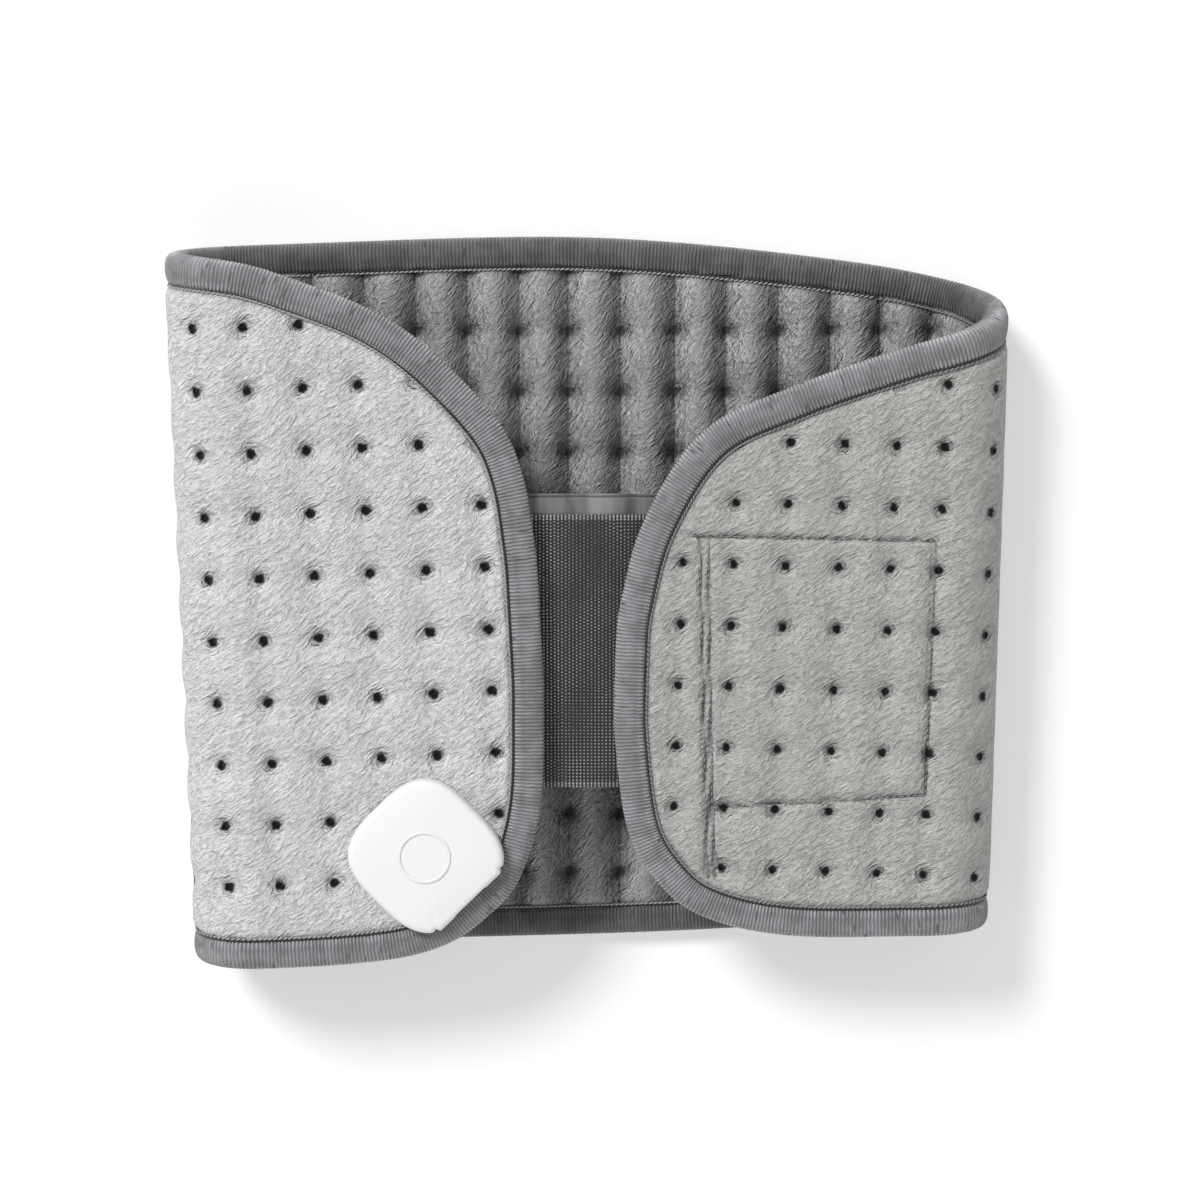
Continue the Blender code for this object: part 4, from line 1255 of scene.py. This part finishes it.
hookTape = tapeFromNode("hookTape", "hook_tape", 0.95, finishes["hookTape"], 0.006, "strap")
guardLow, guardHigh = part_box("strap_guard_tape")
guardMiddle = (guardLow.z + guardHigh.z) / 2
guardRight = guardHigh.x + strap["guardExtra"]
strapGuard = makeSheet("strapGuard", (guardLow.x, guardLow.y), (guardRight, guardHigh.y), 0.0015,
                       (guardHigh.z - guardLow.z) * 0.9,
                       lambda x, y: guardMiddle + 0.0004 * np.sin(x * 285 + 0.6), finishes["guardTape"])
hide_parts("strap_guard_tape")
strapHem = tapeFromNode("strapHem", "strap_end_hem", 0.95, finishes["grosgrainStrap"], 0.0,
                        "strap")
loopPatch = tapeFromNode("loopPatch", "loop_patch", 0.95, finishes["loopPatch"], 0.008,
                         "left_flap")
for piece in (elasticStrap, strapGuard):
    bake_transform(piece)
print("strap done")


housing = {
    "turn": math.radians(-45.6),
    "half": 0.0284,            # half its width, and how far it would reach past the flat side
    "reach": 0.0304,
    "squareness": 3.1,
    "flatAt": 0.0277,
    "edgeRound": 0.0030,
    "dome": 0.0011,
    "notch": 0.0013,
    "mouth": (0.0060, 0.0180, 0.0040),   # the opening for the plug
    "ringRadius": 0.0105,      # the raised circle on the lid
    "ringThick": 0.0013,
    "ringFlat": 0.34,
}
shellLow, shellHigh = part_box("socket_shell")
shellMiddle = (shellLow + shellHigh) / 2


def housingRadius(angle):
    # a rounded square, cut flat towards the plug with a small notch behind each end of the cut
    power = housing["squareness"]
    side = np.where(np.cos(angle) > 0, housing["reach"], housing["half"])
    across = np.abs(np.cos(angle) / side) ** power + np.abs(np.sin(angle) / housing["half"]) ** power
    radius = across ** (-1 / power)
    cut = (radius * np.cos(angle) > housing["flatAt"])
    ends = np.abs(angle[cut]).max()
    past = (np.abs(angle) - ends) * radius
    radius = np.where(cut, housing["flatAt"] / np.maximum(np.cos(angle), 0.1), radius)
    return np.where(cut, radius, radius - housing["notch"] * np.exp(-((past - 0.0019) / 0.0012) ** 2))


def makeHousing():
    # one outline, raised and drawn in step by step to its domed lid
    height = shellHigh.z - shellLow.z
    clearSelection()
    bpy.ops.mesh.primitive_circle_add(vertices=288, radius=1, fill_type="NGON", location=(0, 0, 0))
    shell = bpy.context.active_object
    shell.name = "socketHousing"
    at = readPoints(shell)
    angle = np.arctan2(at[:, 1], at[:, 0])
    radius = housingRadius(angle)
    writePoints(shell, np.column_stack([radius * np.cos(angle), radius * np.sin(angle),
                                        np.full(len(at), -height / 2)]))
    steps = [(0.0, height - housing["edgeRound"] - housing["dome"])]
    for k in range(1, 8):
        turn = math.pi / 2 * k / 7
        steps.append((housing["edgeRound"] * (1 - math.cos(turn)),
                      steps[0][1] + housing["edgeRound"] * 0.9 * math.sin(turn)))
    for share in (0.25, 0.45, 0.65, 0.85):
        steps.append((housing["half"] * share, height - housing["dome"] * (1 - share) ** 2.0))

    def raiseSteps():
        inset, level = 0.0, 0.0
        for nextInset, nextLevel in steps:
            bpy.ops.mesh.extrude_region_move(TRANSFORM_OT_translate={"value": (0, 0, nextLevel - level)})
            factor = (housing["half"] - nextInset) / (housing["half"] - inset)
            bpy.ops.transform.resize(value=(factor, factor, 1), center_override=(0, 0, 0))
            inset, level = nextInset, nextLevel
        bpy.ops.mesh.select_all(action="SELECT")
        bpy.ops.mesh.normals_make_consistent(inside=False)

    editMesh(shell, raiseSteps)
    return shell


def ringAt(radius, thick, rings, sections=64):
    clearSelection()
    bpy.ops.mesh.primitive_torus_add(major_radius=radius, minor_radius=thick / 2, major_segments=sections,
                                     minor_segments=rings, location=(0, 0, 0))
    return bpy.context.active_object


shell = makeHousing()
clearSelection()
bpy.ops.mesh.primitive_cube_add(size=1, location=(housing["flatAt"] - 0.0008, 0, -0.0004),
                                scale=housing["mouth"])
cutter = bpy.context.active_object
placeInMesh(cutter)
applyModifier(cutter, "BEVEL", width=0.0005, segments=3)
applyModifier(shell, "BOOLEAN", object=cutter, operation="DIFFERENCE", solver="EXACT")
bpy.data.objects.remove(cutter)
shell.location = (shellMiddle.x, shellMiddle.y, shellMiddle.z)
shell.rotation_euler = (0, 0, housing["turn"])
bpy.context.view_layer.update()
placeInMesh(shell)
smoothPiece(shell, 32)
dress(shell, finishes["whiteShell"])
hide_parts("socket_shell")
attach(shell, "left_flap")

# a plain raised ring on the lid
ring = ringAt(housing["ringRadius"], housing["ringThick"], 12)
ring.data.transform(Matrix.Diagonal((1, 1, housing["ringFlat"], 1)))
ring.location = (shellMiddle.x, shellMiddle.y, shellHigh.z + 0.0002)
ring.name = "lidRing"
bpy.context.view_layer.update()
placeInMesh(ring)
ring.data.shade_smooth()
dress(ring, finishes["greyRing"])
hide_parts("socket_ring")
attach(ring, "left_flap")
print("housing done")


boxSewing = {
    "length": 0.0023,
    "thick": 0.0006,
    "pitch": 0.0029,
    "dotGap": 0.0036,          # no stitch comes nearer than this to the middle of a dot
    "sunk": 0.0007,
}


def makeBoxThread():
    stitch = modelStitch(boxSewing["length"], boxSewing["thick"])
    matrices = []
    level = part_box("box_stitching")[0].z - boxSewing["sunk"]
    spots = centres[(centres[:, 0] > 0) & (foldPast(centres) > 0.05)]
    spots = wrap(spots, 0.0)[:, :2]
    for a, b in boxLines():
        a, b = np.array(a), np.array(b)
        span = np.linalg.norm(b - a)
        turn = Matrix.Rotation(math.atan2(*(b - a)[::-1]), 4, "Z")
        for s in np.arange(0.0013, span, boxSewing["pitch"]):
            place = a + (b - a) * s / span + np.array(belt["shift"][:2])
            if np.linalg.norm(spots - place, axis=1).min() < boxSewing["dotGap"]:
                continue
            matrices.append(Matrix.Translation((place[0], place[1], level)) @ turn)
    return copiesOf(stitch, matrices, "boxThread")


boxThread = dress(makeBoxThread(), finishes["greyThread"])
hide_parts("box_stitching")
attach(boxThread, "right_flap")
print("box stitching done")


slotFinish = {"cable": "heaterLead", "white_shell": "whiteShell", "grey_ring": "greyRing",
              "nylon": "greyNylon", "steel": "plainSteel", "circuit_board": "circuitBoard",
              "black_plastic": "blackPlastic", "brass": "plainBrass", "ceramic": "ceramic",
              "thread": "greyThread", "elastic": "elastic",
              "grosgrain": "grosgrain", "hook_and_loop": "hookTape", "smooth_tape": "smoothTape",
              "plush": "leftPlushPaintedLight", "plush_inner": "backPlush", "wadding": "wadding", "fleece": "fleece"}
finishes["wadding"] = plainWeave("waddingWhite", (0.78, 0.78, 0.76), 500.0, 0.95, 0.0004, 0.1)
finishes["fleece"] = plainWeave("fleeceCream", (0.62, 0.6, 0.55), 700.0, 0.95, 0.0004, 0.12)
slotNames = sorted(slotFinish, key=len, reverse=True)   # the longest name that fits comes first
for name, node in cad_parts.items():
    for held in node.material_slots:
        label = held.material.name if held.material else ""
        found = [slotFinish[slot] for slot in slotNames if label.startswith(slot)]
        if found:
            held.material = finishes[found[0]]
        else:
            print("no finish for", name, label)
    if not node.material_slots:
        node.data.materials.append(finishes["greyNylon"])
print("packed parts dressed")
